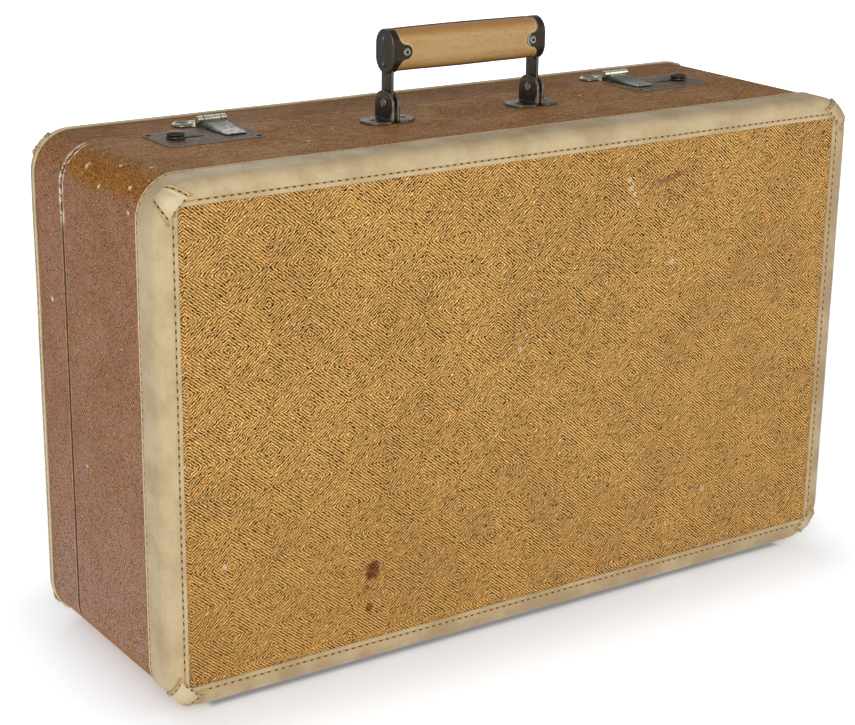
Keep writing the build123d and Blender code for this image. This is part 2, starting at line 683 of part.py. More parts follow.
def make_hasp(side):
    """Sprung leaf with its knuckle and the hook that drops into the latch plate."""
    centre = side * HASP_U
    axis_z = DECK_Z + HASP_AXIS_HEIGHT
    top = [(y, DECK_Z + height) for y, height in HASP_TOP]
    underside = [(y, z - HASP_SHEET) for y, z in reversed(top)]
    knuckle_edge = HASP_AXIS_Y - HASP_BARREL_RADIUS - 0.3
    half_width = HASP_BARREL_WIDTH / 2
    tip_y = HASP_TOP[-1][0]
    with BuildPart() as hasp:
        with BuildSketch(Plane.YZ.offset(centre - half_width)):
            with BuildLine():
                Polyline(*top, *underside, close=True)
            make_face()
        extrude(amount=HASP_BARREL_WIDTH)
        with BuildSketch(deck_plane(0)) as outline:
            with BuildLine():
                corners = [(half_width, knuckle_edge), (HASP_TIP_WIDTH / 2, tip_y)]
                left = [(centre - x, y) for x, y in corners]
                right = [(centre + x, y) for x, y in reversed(corners)]
                Polyline(*left, *right, close=True)
            make_face()
            fillet(outline.vertices().group_by(Axis.Y)[0], 3)
            with Locations((centre, HASP_AXIS_Y - 5)):
                Rectangle(HASP_KNUCKLE_WIDTH, 12)
        extrude(amount=10, mode=Mode.INTERSECT)
        with BuildSketch(Plane.YZ.offset(centre - HASP_KNUCKLE_WIDTH / 2)):
            with Locations((HASP_AXIS_Y, axis_z)):
                Circle(HASP_BARREL_RADIUS)
        extrude(amount=HASP_KNUCKLE_WIDTH)
        hook_x = (centre - HOOK_SHEET / 2, centre + HOOK_SHEET / 2)
        add(span_box(hook_x, HOOK_Y, (DECK_Z + HOOK_BOTTOM, DECK_Z + 2.9)))
        add(span_box((centre - 5, centre + 5), EYE_Y, [DECK_Z + height for height in EYE_HEIGHTS]),
            mode=Mode.SUBTRACT)
        with BuildSketch(Plane.YZ.offset(centre - HASP_BARREL_WIDTH)):
            with Locations((HASP_AXIS_Y, axis_z)):
                Circle(HASP_PIN_RADIUS)
        extrude(amount=2 * HASP_BARREL_WIDTH, mode=Mode.SUBTRACT)
    return hasp.part


def all_parts():
    """Every sub-part by name."""
    parts = {}
    for half in ("base", "lid"):
        parts[f"{half}_frame"] = make_frame(half)
        parts[f"{half}_panel"] = make_panel(half)
        parts[f"{half}_side_cover"] = make_side_cover(half)
        parts[f"{half}_face_cover"] = make_face_cover(half)
        parts[f"{half}_binding"] = make_binding(half)
        parts[f"{half}_corner_patches"] = make_corner_patches(half)
        parts[f"{half}_lining"] = make_lining(half)
        parts[f"{half}_feet"] = make_feet(half)
        hinge_nail_z = BELLY_Z - HINGE_SHEET - GLUE
        parts[f"hinge_{half}_nails"] = nails_at(hinge_nail_points(half), hinge_nail_z, upward=True)
    parts["base_tongue_rail"] = make_tongue_rail()
    parts["hinge_pins"] = make_hinge_pins()
    parts["handle_pivot_pins"] = make_pivot_pins()
    parts["handle_bracket_rivets"] = make_bracket_rivets()
    parts["latch_plate_nails"] = nails_at(plate_nail_points(), DECK_Z + PLATE_SHEET, upward=False)
    parts["hasp_plate_nails"] = nails_at(hasp_nail_points(), DECK_Z + HASP_SHEET, upward=False)
    parts["hasp_pins"] = make_hasp_pins()
    parts["handle_core"] = make_core()
    parts["handle_grip"] = make_grip()
    parts["handle_link_rivets"] = make_link_rivets()
    parts["handle_tongue_rivets"] = make_tongue_rivets()
    for name, side in SIDES.items():
        parts[f"hinge_base_leaf_{name}"] = make_hinge_leaf("base", side)
        parts[f"hinge_lid_leaf_{name}"] = make_hinge_leaf("lid", side)
        parts[f"bracket_ear_{name}_outer"] = make_ear(side, side)
        parts[f"bracket_ear_{name}_inner"] = make_ear(side, -side)
        parts[f"handle_link_{name}"] = make_link(side)
        parts[f"handle_end_cap_{name}"] = make_end_cap(side)
        parts[f"latch_plate_{name}"] = make_latch_plate(side)
        parts[f"latch_case_{name}"] = make_latch_case(side)
        parts[f"latch_slide_{name}"] = make_latch_slide(side)
        parts[f"hasp_plate_{name}"] = make_hasp_plate(side)
        parts[f"hasp_{name}"] = make_hasp(side)
    return parts


os.makedirs("parts", exist_ok=True)
for part_name, part in all_parts().items():
    part.label = part_name
    export_step(part, f"parts/{part_name}.step")
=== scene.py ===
import random
from math import asin, copysign, cos, exp, hypot, pi, radians, sin, sqrt, tau

import bmesh
import bpy
import numpy as np
from mathutils import Matrix, Vector, noise


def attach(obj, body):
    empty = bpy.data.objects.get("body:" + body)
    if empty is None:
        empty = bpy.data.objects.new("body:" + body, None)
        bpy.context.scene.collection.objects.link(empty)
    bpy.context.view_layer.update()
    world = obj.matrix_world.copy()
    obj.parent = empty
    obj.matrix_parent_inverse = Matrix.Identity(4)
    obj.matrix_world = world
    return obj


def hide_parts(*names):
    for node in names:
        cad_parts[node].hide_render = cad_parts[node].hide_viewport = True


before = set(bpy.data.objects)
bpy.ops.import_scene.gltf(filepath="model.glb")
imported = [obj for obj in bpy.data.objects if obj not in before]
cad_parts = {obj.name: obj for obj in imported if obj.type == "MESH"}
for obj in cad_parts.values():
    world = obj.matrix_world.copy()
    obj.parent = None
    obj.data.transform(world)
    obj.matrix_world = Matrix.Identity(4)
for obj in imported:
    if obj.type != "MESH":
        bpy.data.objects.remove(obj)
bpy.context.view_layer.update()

RNG = random.Random(7)
MM = 0.001

# Case, in mm, in the frame of the CAD model
LENGTH = 610
HEIGHT = 374
DEPTH = 200
GROUND_GAP = 5
CORNER_RADIUS = 30
EDGE_RADIUS = 8
SPLIT_Y = 45
GROOVE = 0.56
COVER_INSET = 1.2
WINDOW_INSET = 17.1
WINDOW_RADIUS = 3
BINDING_ON_SIDE = {"base": 27.8, "lid": 11}
BINDING_THICKNESS = 1.17
CENTRE_Z = GROUND_GAP + HEIGHT / 2
DECK_Z = GROUND_GAP + HEIGHT - COVER_INSET
FACE_Y = -DEPTH / 2

# Both halves are described as the base, which faces -Y; the lid is turned over
FACING = {"base": 1, "lid": -1}
CORNERS = ((1, 1), (-1, 1), (-1, -1), (1, -1))

# Steps of the surfaces that run round the case
CORNER_STEPS = 14
LONG_STEPS = 72
SHORT_STEPS = 44
WALL_STEPS = {"base": 20, "lid": 9}

# Corner patches, as (inward from the side, inward from the edge) at the ends of their two welts
PATCH_INNER = ((9, 27), (27, 9))
PATCH_OUTER = {"base": ((-2.3, 8.5), (8.5, -2.3)), "lid": ((-1, 8.8), (8.8, -1))}
WELT_SEAM = 2.2

# Stitching; a thread is an arch of (share of the pitch, height)
STITCH_INSET = 13.4
STITCH_PITCH = 5.8
WALL_STITCH_PITCH = 6.4
THREAD_RADIUS = 0.52
THREAD_ARCH = [(0.02, -0.4), (0.1, 0.02), (0.22, 0.3), (0.38, 0.3), (0.5, 0.02), (0.58, -0.4)]
SLIT_RADIUS = 0.78

# What the cloth shaders read: places on the binding, and surfaces that carry no mark
STITCH_MARK = 100
LIP_MARK = 3.3
NO_MARK = (0, -50, 0)

# Handle
LINK_X = 65.3
PIVOT_HEIGHT = 14
LINK_RIVETS = (42, 61)
GRIP_Z = DECK_Z + 51.5
GRIP_SPAN = 130
CAP_WIDTH = 23.4
CAP_HEIGHT = 32.4
CAP_END = 68.4
CAP_BAND_X = CAP_END - 6.5
TONGUE_X = CAP_END - 12
TONGUE_RADIUS = 5.3
TONGUE_FLARE = 12
EAR_SHEET = 2
LIFT_OFF_DECK = 0.05

# Latches; u is the distance from the middle of the case, heights are from the deck
HASP_U = 185
HASP_AXIS = (47, DECK_Z + 6)
HASP_RADIUS = 2.7
HASP_BORE = 1.2
HASP_TOP = [(8, 2.6), (19, 3.1), (30, 3.8), (37, 4.7), (43, 5.3), (47, 5.6)]
HASP_LOBE = (-17, 59)
HASP_NAILS = [(-20.5, 60), (-7, 65.5), (7, 65.5)]
LEAF_SHEET = 0.9
HOOK_Y = (17.5, 26.5)
HOOK_LOW, HOOK_TOP = -5.9, 2.9
EYE_Y = (19.7, 24.3)
EYE_HEIGHTS = (-4.9, -2.3)
KNOB = (228, 19)
SLIDE_TRAVEL = 20
SLIDER_U = (209, 232.5)
SLIDER_Y = (5.4, 30.6)
NOSE_TIP_U = 193.5
NOSE_Y = (20.2, 23.8)
NOSE_HEIGHTS = (-4.6, -2.6)
PLATE_U = (168, 244)
PLATE_Y = (-4, 42)
PLATE_NAILS = [(240, 38), (172.5, 0), (172.5, 38)]
POCKET_U = (172, 236)
POCKET_Y = (4, 32)
NOTCH_U = (182.4, 187.6)
NOTCH_START_Y = 15

# Stage, in m: name, place, target, size and power of the lights
LIGHTS = [("key", (-2, -2.7, 1.5), (0, 0, 0.2), (2.2, 2), 66),
          ("fill", (2.4, -2.2, 1.2), (0, 0, 0.2), (2.2, 2), 20),
          ("back", (0.6, 2.6, 1.6), (0, 0, 0.3), (2.6, 1.6), 12)]
FLOOR_GLOW = 0.56

# Distance in front of the split, in mm, at which a point on the ground drops as low as the open lid
LID_SWEEP = 210


# ---------------------------------------------------------------- shader building

class Value:
    """Output of a shader node that can be used in sums; places are vectors in mm."""

    def __init__(self, shader, socket):
        self.shader = shader
        self.socket = socket

    def sum(self, operation, *terms):
        kind = "VectorMath" if self.socket.type == "VECTOR" else "Math"
        return self.shader.node(kind, dict(enumerate(terms)), operation=operation)

    def __add__(self, other):
        return self.sum("ADD", self, other)

    def __sub__(self, other):
        return self.sum("SUBTRACT", self, other)

    def __rsub__(self, other):
        return self.sum("SUBTRACT", other, self)

    def __mul__(self, other):
        return self.sum("MULTIPLY", self, other)

    def __truediv__(self, other):
        return self.sum("DIVIDE", self, other)

    def __abs__(self):
        return self.sum("ABSOLUTE", self)


class Shader:
    """A node material being put together from values, plain numbers and colours."""

    def __init__(self, name):
        self.material = bpy.data.materials.new(name)
        self.material.use_nodes = True
        self.tree = self.material.node_tree
        self.surface = self.tree.nodes["Principled BSDF"]
        self.place = self.node("TexCoord", out="Object") * (1000, 1000, 1000)

    def node(self, kind, inputs=None, out=0, **settings):
        """Adds a node with its inputs and settings, and gives one of its outputs."""
        made = self.tree.nodes.new("ShaderNode" + kind)
        for key, value in settings.items():
            setattr(made, key, value)
        for key, value in (inputs or {}).items():
            self.feed(made.inputs[key], value)
        return Value(self, made.outputs[out])

    def feed(self, socket, value):
        if isinstance(value, Value):
            self.tree.links.new(value.socket, socket)
        elif isinstance(value, tuple) and socket.type == "RGBA":
            socket.default_value = (*value, 1)
        else:
            socket.default_value = value

    def math(self, operation, *terms, clamp=False):
        return self.node("Math", dict(enumerate(terms)), operation=operation, use_clamp=clamp)

    def larger(self, a, b):
        return self.math("MAXIMUM", a, b)

    def smaller(self, a, b):
        return self.math("MINIMUM", a, b)

    def length(self, vector):
        return self.node("VectorMath", {0: vector}, "Value", operation="LENGTH")

    def split(self, vector):
        x = self.node("SeparateXYZ", {0: vector})
        return [Value(self, output) for output in x.socket.node.outputs]

    def join(self, x, y, z=0):
        return self.node("CombineXYZ", {0: x, 1: y, 2: z})

    def attribute(self, name):
        return self.node("Attribute", out="Vector", attribute_name=name)

    def noise(self, size, detail=3, roughness=0.55, distortion=0, at=None):
        """Noise from 0 to 1 whose blobs are about size mm across."""
        inputs = {"Vector": at or self.place, "Scale": 1 / size, "Detail": detail, "Roughness": roughness,
                  "Distortion": distortion}
        return self.node("TexNoise", inputs, "Fac")

    def random(self, vector):
        return self.node("TexWhiteNoise", {"Vector": vector}, "Value", noise_dimensions="3D")

    def remap(self, value, low, high, to_low=0, to_high=1):
        inputs = {"Value": value, "From Min": low, "From Max": high, "To Min": to_low, "To Max": to_high}
        return self.node("MapRange", inputs, "Result", interpolation_type="SMOOTHSTEP")

    def mix(self, factor, a, b):
        return self.node("Mix", {"Factor": factor, 6: a, 7: b}, 2, data_type="RGBA")

    def paint(self, factor, color):
        """Covers the colour so far with another one, as far as factor says."""
        self.color = self.mix(factor, self.color, color)

    def spot(self, centre, radius, ragged=0.5, size=6):
        """Blot of ragged edge round a point given in mm; 1 inside, 0 outside."""
        edge = (self.noise(size) - 0.5) * (ragged * radius * 2)
        return self.remap(self.length(self.place - centre) + edge, radius, radius * 0.45)

    def bump(self, height, distance, strength=1, below=None):
        inputs = {"Height": height, "Distance": distance * MM, "Strength": strength}
        if below:
            inputs["Normal"] = below
        return self.node("Bump", inputs, "Normal")

    def finish(self, **inputs):
        names = {"color": "Base Color", "roughness": "Roughness", "normal": "Normal", "metallic": "Metallic",
                 "sheen": "Sheen Weight", "specular": "Specular IOR Level", "glow": "Emission Strength",
                 "glow_color": "Emission Color"}
        for key, value in {"color": self.color, **inputs}.items():
            self.feed(self.surface.inputs[names[key]], value)
        return self.material


def diamond_dashes(shader, u, v, cell, spacing, dash, stray=0.7):
    """Broken dashes that follow concentric diamonds: (dark mask, light mask, random value per dash)."""
    half_u, half_v = cell
    wobble = shader.noise(5, detail=2, at=shader.join(u, v))
    shifted_u = u + wobble * 2.2
    shifted_v = v - wobble * 2.2
    across = shader.math("PINGPONG", shifted_u, half_u)
    along = shader.math("PINGPONG", shifted_v, half_v) * (half_u / half_v)
    slope = hypot(1, half_u / half_v)
    rings = (across + along) / (spacing * slope)
    jitter = shader.noise(2.2, detail=1, at=shader.join(u, v, 9))
    rings = rings + (jitter - 0.5) * stray
    row = shader.math("FLOOR", rings)
    inside = shader.math("FRACT", rings)
    run = (across - along) / (dash * slope)
    quadrant = shader.join(row, shader.math("FLOOR", shifted_u / half_u),
                           shader.math("FLOOR", shifted_v / half_v))
    run = run + shader.random(quadrant) * 9
    piece = shader.math("FLOOR", run)
    per_dash = shader.random(quadrant + shader.join(piece, piece, piece))
    middle = abs(inside - 0.5)
    stroke = shader.remap(middle + per_dash * 0.12, 0.345, 0.225)
    ends = abs(shader.math("FRACT", run) - 0.5)
    stroke = stroke * shader.remap(ends, 0.48, 0.38)
    light = shader.remap(middle, 0.36, 0.48)
    return (stroke, light, per_dash)


# ---------------------------------------------------------------- materials

# Marks on the panel and the walls: (place, radius, depth) of the stains, else (place, radius)
STAINS = [((-139, -98.8, 75), 9, 0.75), ((-138, -98.8, 79), 5, 0.8),
          ((-141, -98.8, 72), 4, 0.75), ((-145, -98.8, 62), 4.5, 0.35), ((-142, -98.8, 47), 4.5, 0.75)]
STREAK = (124, -98.8, 333.5)
STREAK_TURN = 13
CHIPS = [((-288, -20, 372), 3), ((-280, -48, 376), 2.2), ((-297, -52, 366), 2.8),
         ((-301, -12, 360), 2.2), ((-296, 16, 368), 2.6), ((-303, -60, 352), 2),
         ((-305, -44, 255), 1.8), ((-305, 20, 150), 2), ((-303.8, 68, 262), 2.2),
         ((-240, 22, 378), 2.2), ((-150, -30, 378), 1.8), ((120, 10, 378), 2)]
SCUFFS = [((84, -98.8, 336), 3), ((86, -98.8, 330), 3), ((89, -98.8, 324), 2.6),
          ((93, -98.8, 317), 2), ((129, -98.8, 267.5), 3), ((-12, -98.8, 221), 2.4),
          ((-259, -98.8, 106), 2.4), ((173, -98.8, 73), 3), ((28, -98.8, 143), 2)]


def face_cloth():
    """Gold cloth with a figure of concentric diamonds in dark broken dashes."""
    s = Shader("face_cloth")
    x, _, z = s.split(s.place)
    dark, light, per_dash = diamond_dashes(s, x, z, (31.5, 26), 1.85, 4.4, stray=0.95)
    patches = s.noise(70, detail=4)
    ground = s.mix(s.remap(patches, 0.35, 0.65), (0.455, 0.238, 0.056), (0.355, 0.175, 0.042))
    tint = s.noise(11, detail=2)
    ground = s.mix(s.remap(tint, 0.52, 0.7, 0, 0.5), ground, (0.6, 0.25, 0.065))
    ground = s.mix(light * 0.9, ground, (0.98, 0.665, 0.25))
    ink = s.mix(per_dash, (0.024, 0.007, 0.001), (0.23, 0.092, 0.018))
    s.color = s.mix(dark * 0.97, ground, ink)
    # Painted shade: the panel darkens towards the bottom, most at the left, where the light falls off.
    s.paint(s.remap(z, 230, 40, 0, 0.24) * s.remap(x, 120, -200, 0.25, 1), (0.24, 0.105, 0.02))
    speck = s.noise(1, detail=2)
    s.paint(s.remap(speck, 0.62, 0.76, 0, 0.5), (0.9, 0.66, 0.36))
    for place, radius, depth in STAINS:
        s.paint(s.spot(place, radius) * depth, s.mix(dark, (0.15, 0.032, 0.012), (0.04, 0.008, 0.003)))
    turn = {"Vector": s.place, "Center": STREAK, "Angle": radians(STREAK_TURN)}
    turned = s.node("VectorRotate", turn, rotation_type="Y_AXIS")
    reach = s.length((turned - STREAK) * (0.15, 1, 1)) + s.noise(4) * 2
    s.paint(s.remap(reach, 4.4, 2.4, 0, 0.72), (0.19, 0.072, 0.038))
    for place, radius in SCUFFS:
        s.paint(s.spot(place, radius, ragged=1.2, size=2) * 0.36, (0.86, 0.74, 0.54))
    return s.finish(roughness=s.remap(patches, 0.3, 0.7, 0.66, 0.78), specular=0.05,
                    normal=s.bump(light * 0.5 - dark, 0.25, 0.8))


def wall_zones(s):
    """Zones of the wall covering, 0 to 1: the deck under the handle, the lid, and the rubbed corners."""
    x, y, z = s.split(s.place)
    deck = s.remap(z, DECK_Z - 4, DECK_Z - 1.5)
    lid = s.remap(y, SPLIT_Y - 1, SPLIT_Y + 1)
    corner = s.smaller(LENGTH / 2 - abs(x), HEIGHT / 2 - abs(z - CENTRE_Z))
    rubbed = s.remap(s.noise(16) * 7 + corner, 3.9, 8.6) * (lid * -0.6 + 1)
    return deck, lid, rubbed


def wall_ground(s, patches, mottle, deck, rubbed):
    """Colour of the wall covering between its dashes, by height, mottling and wear; paler low down as a
    painted reflection of the floor.
    """
    _, _, z = s.split(s.place)
    ground = s.mix(s.remap(patches, 0.36, 0.66), (0.35, 0.17, 0.096), (0.28, 0.124, 0.068))
    # Painted reflection of the pale floor: the wall turns paler and greyer towards the bottom.
    ground = s.mix(s.remap(z, 240, 30, 0, 0.75), ground, (0.405, 0.25, 0.186))
    on_deck = s.mix(s.remap(patches, 0.4, 0.6), (0.42, 0.205, 0.066), (0.31, 0.127, 0.033))
    ground = s.mix(deck * 0.75, ground, on_deck)
    ground = s.mix(s.remap(mottle, 0.5, 0.66, 0, 0.65), ground, (0.19, 0.074, 0.034))
    ground = s.mix(s.remap(mottle, 0.46, 0.34, 0, 0.5), ground, (0.46, 0.245, 0.125))
    ground = s.mix(rubbed * 0.95, ground, (0.37, 0.142, 0.016))
    brackets = s.larger(*[s.spot((side * LINK_X, -24, DECK_Z), 26, size=14) for side in (1, -1)])
    return s.mix(brackets * 0.6, ground, (0.35, 0.12, 0.026))


def paint_groove(s, mottle, deck):
    """Wear and a painted highlight beside the groove, painted shade in it, and bare board where one corner
    is broken.
    """
    _, y, _ = s.split(s.place)
    gap = abs(y - SPLIT_Y)
    flaky = s.remap(s.noise(5, detail=5, roughness=0.7), 0.52, 0.6)
    s.paint(s.remap(gap, 4, 1) * flaky * 0.75, (0.58, 0.36, 0.15))
    # Painted highlight along the lips of the groove, broken up by the mottling.
    s.paint(s.remap(gap, 3, 2.2) * s.remap(mottle, 0.4, 0.56, 0.1, 0.42), (0.56, 0.36, 0.22))
    # Painted shade in the groove, fainter on the deck.
    s.paint(s.remap(gap, 1.7, 0.9, 0, 0.92) * (deck * -0.45 + 1), (0.035, 0.012, 0.003))
    broken = s.larger(s.spot((-298, SPLIT_Y, 367), 24, size=7), s.spot((-304, SPLIT_Y, 338), 20))
    flakes = s.remap(s.noise(4.2, detail=6, roughness=0.75), 0.46, 0.53)
    beside = s.remap(gap, 5.2, 2) * s.remap(gap, 0.7, 1.5, 0.25, 1)
    s.paint(broken * flakes * beside * 0.88, (0.84, 0.73, 0.56))


def side_cloth():
    """Red-brown cloth on the walls: a finer figure, orange where the corners are rubbed, pale scuffs."""
    s = Shader("side_cloth")
    u, v, _ = s.split(s.attribute("cloth"))
    dark, light, per_dash = diamond_dashes(s, u, v, (30, 24), 1.75, 3.2, stray=1.5)
    patches = s.noise(45, detail=5)
    mottle = s.noise(3.2, detail=5, roughness=0.7)
    deck, lid, rubbed = wall_zones(s)
    ridge = s.mix(deck, (0.5, 0.295, 0.185), (0.54, 0.33, 0.12))
    ridge = s.mix(rubbed, ridge, (0.52, 0.265, 0.052))
    s.color = s.mix(light * 0.9, wall_ground(s, patches, mottle, deck, rubbed), ridge)
    grain = s.noise(2.2, detail=5, roughness=0.7, at=s.place * (0.22, 1, 1))
    s.paint(deck * s.remap(grain, 0.52, 0.66, 0, 0.75), (0.64, 0.4, 0.13))
    s.paint(deck * s.remap(grain, 0.46, 0.34, 0, 0.72), (0.13, 0.05, 0.014))
    ink = s.mix(per_dash, (0.06, 0.018, 0.006), (0.21, 0.08, 0.034))
    s.paint(dark * 0.9, s.mix(rubbed * 0.9, ink, (0.1, 0.022, 0.003)))
    s.paint(s.remap(s.noise(1.1, detail=2), 0.62, 0.76, 0, 0.45), (0.56, 0.34, 0.21))
    s.paint(lid * deck * 0.34, (0.12, 0.046, 0.014))
    paint_groove(s, mottle, deck)
    scratches = s.remap(s.noise(1.6, at=s.place * (1, 1, 0.16)), 0.7, 0.76)
    s.paint(scratches * s.remap(patches, 0.45, 0.62, 0, 0.5), (0.66, 0.48, 0.33))
    strands = s.noise(2.6, detail=6, roughness=0.7, at=s.place * (1, 0.45, 1))
    s.paint(rubbed * s.remap(strands, 0.47, 0.36, 0, 0.75), (0.115, 0.032, 0.005))
    s.paint(rubbed * s.remap(strands, 0.61, 0.665, 0, 0.7), (0.7, 0.47, 0.24))
    for place, radius in CHIPS:
        s.paint(s.spot(place, radius, ragged=1.2, size=1.8) * 0.88, (0.78, 0.62, 0.44))
    normal = s.bump(s.noise(8), 0.5, 0.25, below=s.bump(light - dark, 0.14, 0.6))
    return s.finish(roughness=s.remap(patches, 0.3, 0.7, 0.58, 0.7), normal=normal, specular=0.09)


def leathercloth(name, clean, soiled, grime):
    """Smooth coated binding with fine grain, soiled patches, a dark stitch channel, and painted shade round
    the corner patches.
    """
    s = Shader(name)
    patches = s.noise(34, detail=5, roughness=0.6)
    s.color = s.mix(s.remap(patches, 0.38, 0.68), clean, soiled)
    streaks = s.noise(2.6, detail=3, at=s.attribute("cloth") * (0.1, 1, 1))
    s.paint(s.remap(streaks, 0.5, 0.72, 0, 0.35), soiled)
    dirt = s.remap(s.noise(3.5, detail=6, roughness=0.7), 0.58, 0.72)
    s.paint(dirt * grime, (0.2, 0.14, 0.07))
    pits = s.noise(0.8, detail=2)
    s.paint(s.remap(pits, 0.6, 0.74, 0, 0.25), (0.3, 0.22, 0.12))
    x, _, z = s.split(s.place)
    # Darker towards the right end and towards the bottom.
    darker_right_and_bottom = s.larger(s.remap(x, 270, 300), s.remap(z, 30, 8))
    darker_right_and_bottom = darker_right_and_bottom * s.remap(patches, 0.3, 0.6, 0.34, 0.72)
    s.paint(darker_right_and_bottom, (0.275, 0.18, 0.09))
    _, profile, outline = s.split(s.attribute("cloth"))
    # Painted shade round the edges of the corner patches and beside their welts.
    s.paint(outline * 0.7, (0.14, 0.08, 0.022))
    for mark, depth in ((STITCH_MARK, 0.75), (LIP_MARK, 0.45)):
        channel = s.remap(abs(profile - mark), 1.1, 0.5)
        s.paint(channel * depth, (0.36, 0.215, 0.055))
    lip = s.remap(abs(profile - 1.6), 1, 0.3)
    s.paint(lip * 0.5, (0.8, 0.7, 0.52))
    creases = s.noise(6, detail=6, roughness=0.65, distortion=0.6)
    normal = s.bump(s.noise(0.7, detail=2), 0.07, 0.5)
    normal = s.bump(creases, 0.5, 0.3, below=normal)
    return s.finish(roughness=s.remap(patches, 0.3, 0.7, 0.42, 0.56), normal=normal, specular=0.28)


def thread(name, color_a, color_b, sheen=0.3, specular=0.5):
    """Twisted thread of two shades."""
    s = Shader(name)
    twist = s.noise(0.5, detail=1, at=s.place * (1, 0.4, 1))
    s.color = s.mix(s.remap(twist, 0.35, 0.65), color_a, color_b)
    return s.finish(roughness=s.remap(twist, 0.3, 0.7, 0.6, 0.8), normal=s.bump(twist, 0.2, 0.8),
                    sheen=sheen, specular=specular)


def worn_metal(name, base, bright, roughness, metallic, edge_wear_and_highlight=0.6, scratch=0.3, tarnish=(0.05, 0.03, 0.02),
               shaded_y=None, specular=0.5):
    """Metal that is bright on its edges, from rubbed wear and a painted highlight, and mottled and scratched
    in between.
    """
    s = Shader(name)
    mottle = s.noise(3, detail=5, roughness=0.65)
    s.color = s.mix(s.remap(mottle, 0.4, 0.66), base, tarnish)
    # Bright edges: rubbed wear, and a painted highlight along the rims.
    edges = s.node("NewGeometry", out="Pointiness")
    rubbed_and_highlit_edges = s.remap(edges, 0.51, 0.575) * s.remap(mottle, 0.32, 0.58, 0.4, 1)
    hairs = s.noise(0.55, detail=3, at=s.place * (0.25, 1, 1))
    lines = s.remap(hairs, 0.64, 0.72)
    s.paint(rubbed_and_highlit_edges * edge_wear_and_highlight, bright)
    s.paint(lines * scratch, bright)
    if shaded_y:
        _, y, _ = s.split(s.place)
        s.paint(s.remap(y, *shaded_y, 0, 0.72), (0.03, 0.027, 0.02))
    rough = s.math("ADD", (mottle - 0.5) * 0.5, roughness, clamp=True)
    normal = s.bump(mottle, 0.1, 0.35)
    return s.finish(roughness=rough, metallic=metallic, normal=normal, specular=specular)


def grip_leather():
    """Tan leather: greyed in the middle by the hand, orange along the folds, pale beside the caps, with
    painted shade along its underside.
    """
    s = Shader("grip_leather")
    x, y, z = s.split(s.place)
    height = abs(z - GRIP_Z)
    ragged = s.noise(7, detail=4, at=s.place * (0.3, 1, 1))
    fold = s.remap(ragged * 5 + height, 11.5, 16, 0, 0.85)
    ends = s.remap(ragged * 10 + abs(x), 42, 60)
    s.color = s.mix(ends * 0.6, (0.46, 0.285, 0.118), (0.46, 0.25, 0.075))
    s.paint(fold, (0.36, 0.165, 0.038))
    spots = s.noise(4.5, detail=6, roughness=0.7)
    s.paint(s.remap(spots, 0.52, 0.68, 0, 0.4), (0.33, 0.18, 0.065))
    # Painted shade along the underside of the grip, near black.
    under = s.remap(GRIP_Z - z, 12, 14.5)
    s.paint(under * 0.8, (0.07, 0.018, 0.006))
    drawn = s.noise(2.6, detail=4, at=s.place * (0.14, 1, 1))
    s.paint(s.remap(drawn, 0.52, 0.66, 0, 0.45), (0.35, 0.19, 0.06))
    gap, _, _ = s.split(s.attribute("cloth"))
    worn = s.remap(spots * 2.4 + gap, 2.9, 1.7)
    s.paint(worn * 0.55, (0.68, 0.54, 0.34))
    pores = s.noise(0.6, detail=2)
    normal = s.bump(pores, 0.08, 0.5)
    normal = s.bump(spots, 0.35, 0.3, below=normal)
    return s.finish(roughness=s.remap(spots, 0.3, 0.7, 0.48, 0.64), normal=normal, specular=0.3)


def wood(name, light, dark, stretch, roughness=0.7):
    """Wood or board with its grain drawn out by stretch."""
    s = Shader(name)
    rings = s.noise(2.4, detail=4, distortion=0.8, at=s.place * stretch)
    s.color = s.mix(s.remap(rings, 0.35, 0.65), light, dark)
    fibre = s.noise(0.5, detail=2, at=s.place * stretch)
    s.paint(s.remap(fibre, 0.55, 0.75, 0, 0.4), dark)
    return s.finish(roughness=roughness, normal=s.bump(fibre, 0.15, 0.5))


def lining_paper():
    """Printed lining paper: fine check on cream, foxed with age."""
    s = Shader("lining_paper")
    x, y, z = s.split(s.place)
    patches = s.noise(60, detail=5)
    s.color = s.mix(s.remap(patches, 0.4, 0.66), (0.6, 0.47, 0.29), (0.47, 0.34, 0.18))
    lines = [s.remap(s.math("PINGPONG", axis, 4), 0.45, 0.25) for axis in (x, y + z)]
    check = s.larger(*lines)
    s.paint(check * 0.35, (0.3, 0.17, 0.08))
    foxing = s.remap(s.noise(9, detail=6, roughness=0.75), 0.62, 0.74)
    s.paint(foxing * 0.28, (0.32, 0.19, 0.08))
    return s.finish(roughness=0.85, normal=s.bump(s.noise(0.9), 0.1, 0.5))


def pale_floor():
    """Floor that turns white far away, with a painted contact shadow beside and under the case while it
    stands there.
    """
    s = Shader("pale_floor")
    cloud = s.noise(400, detail=2)
    s.color = s.mix(s.remap(cloud, 0.3, 0.7), (0.9, 0.9, 0.905), (0.88, 0.88, 0.885))
    x, y, _ = s.split(s.place)
    _, _, level = s.split(s.node("NewGeometry", out="Position"))
    touching = s.remap(level, -0.03, -0.002)
    beyond_x = abs(x) - (LENGTH / 2 - CORNER_RADIUS)
    beyond_y = abs(y) - DEPTH / 2
    outside = s.length(s.join(s.larger(beyond_x, 0), s.larger(beyond_y, 0)))
    gap = outside + s.smaller(s.larger(beyond_x, beyond_y), 0)
    # Painted shadow under the flat bottom of the case.
    under = touching * s.remap(gap, -4, -12, 0, 0.92)
    s.paint(under, (0.05, 0.042, 0.032))
    seen = s.node("LightPath", out="Is Camera Ray")
    # Painted shadow: the camera sees less glow close beside the case.
    shade = touching * s.remap(gap, 95, -12, 0, 0.6)
    far = s.remap(s.length(s.place), 900, 2600, 0, 0.6)
    return s.finish(roughness=0.6, specular=0.2, glow_color=(0.84, 0.9, 0.96),
                    glow=seen * (far - shade * FLOOR_GLOW) + FLOOR_GLOW)


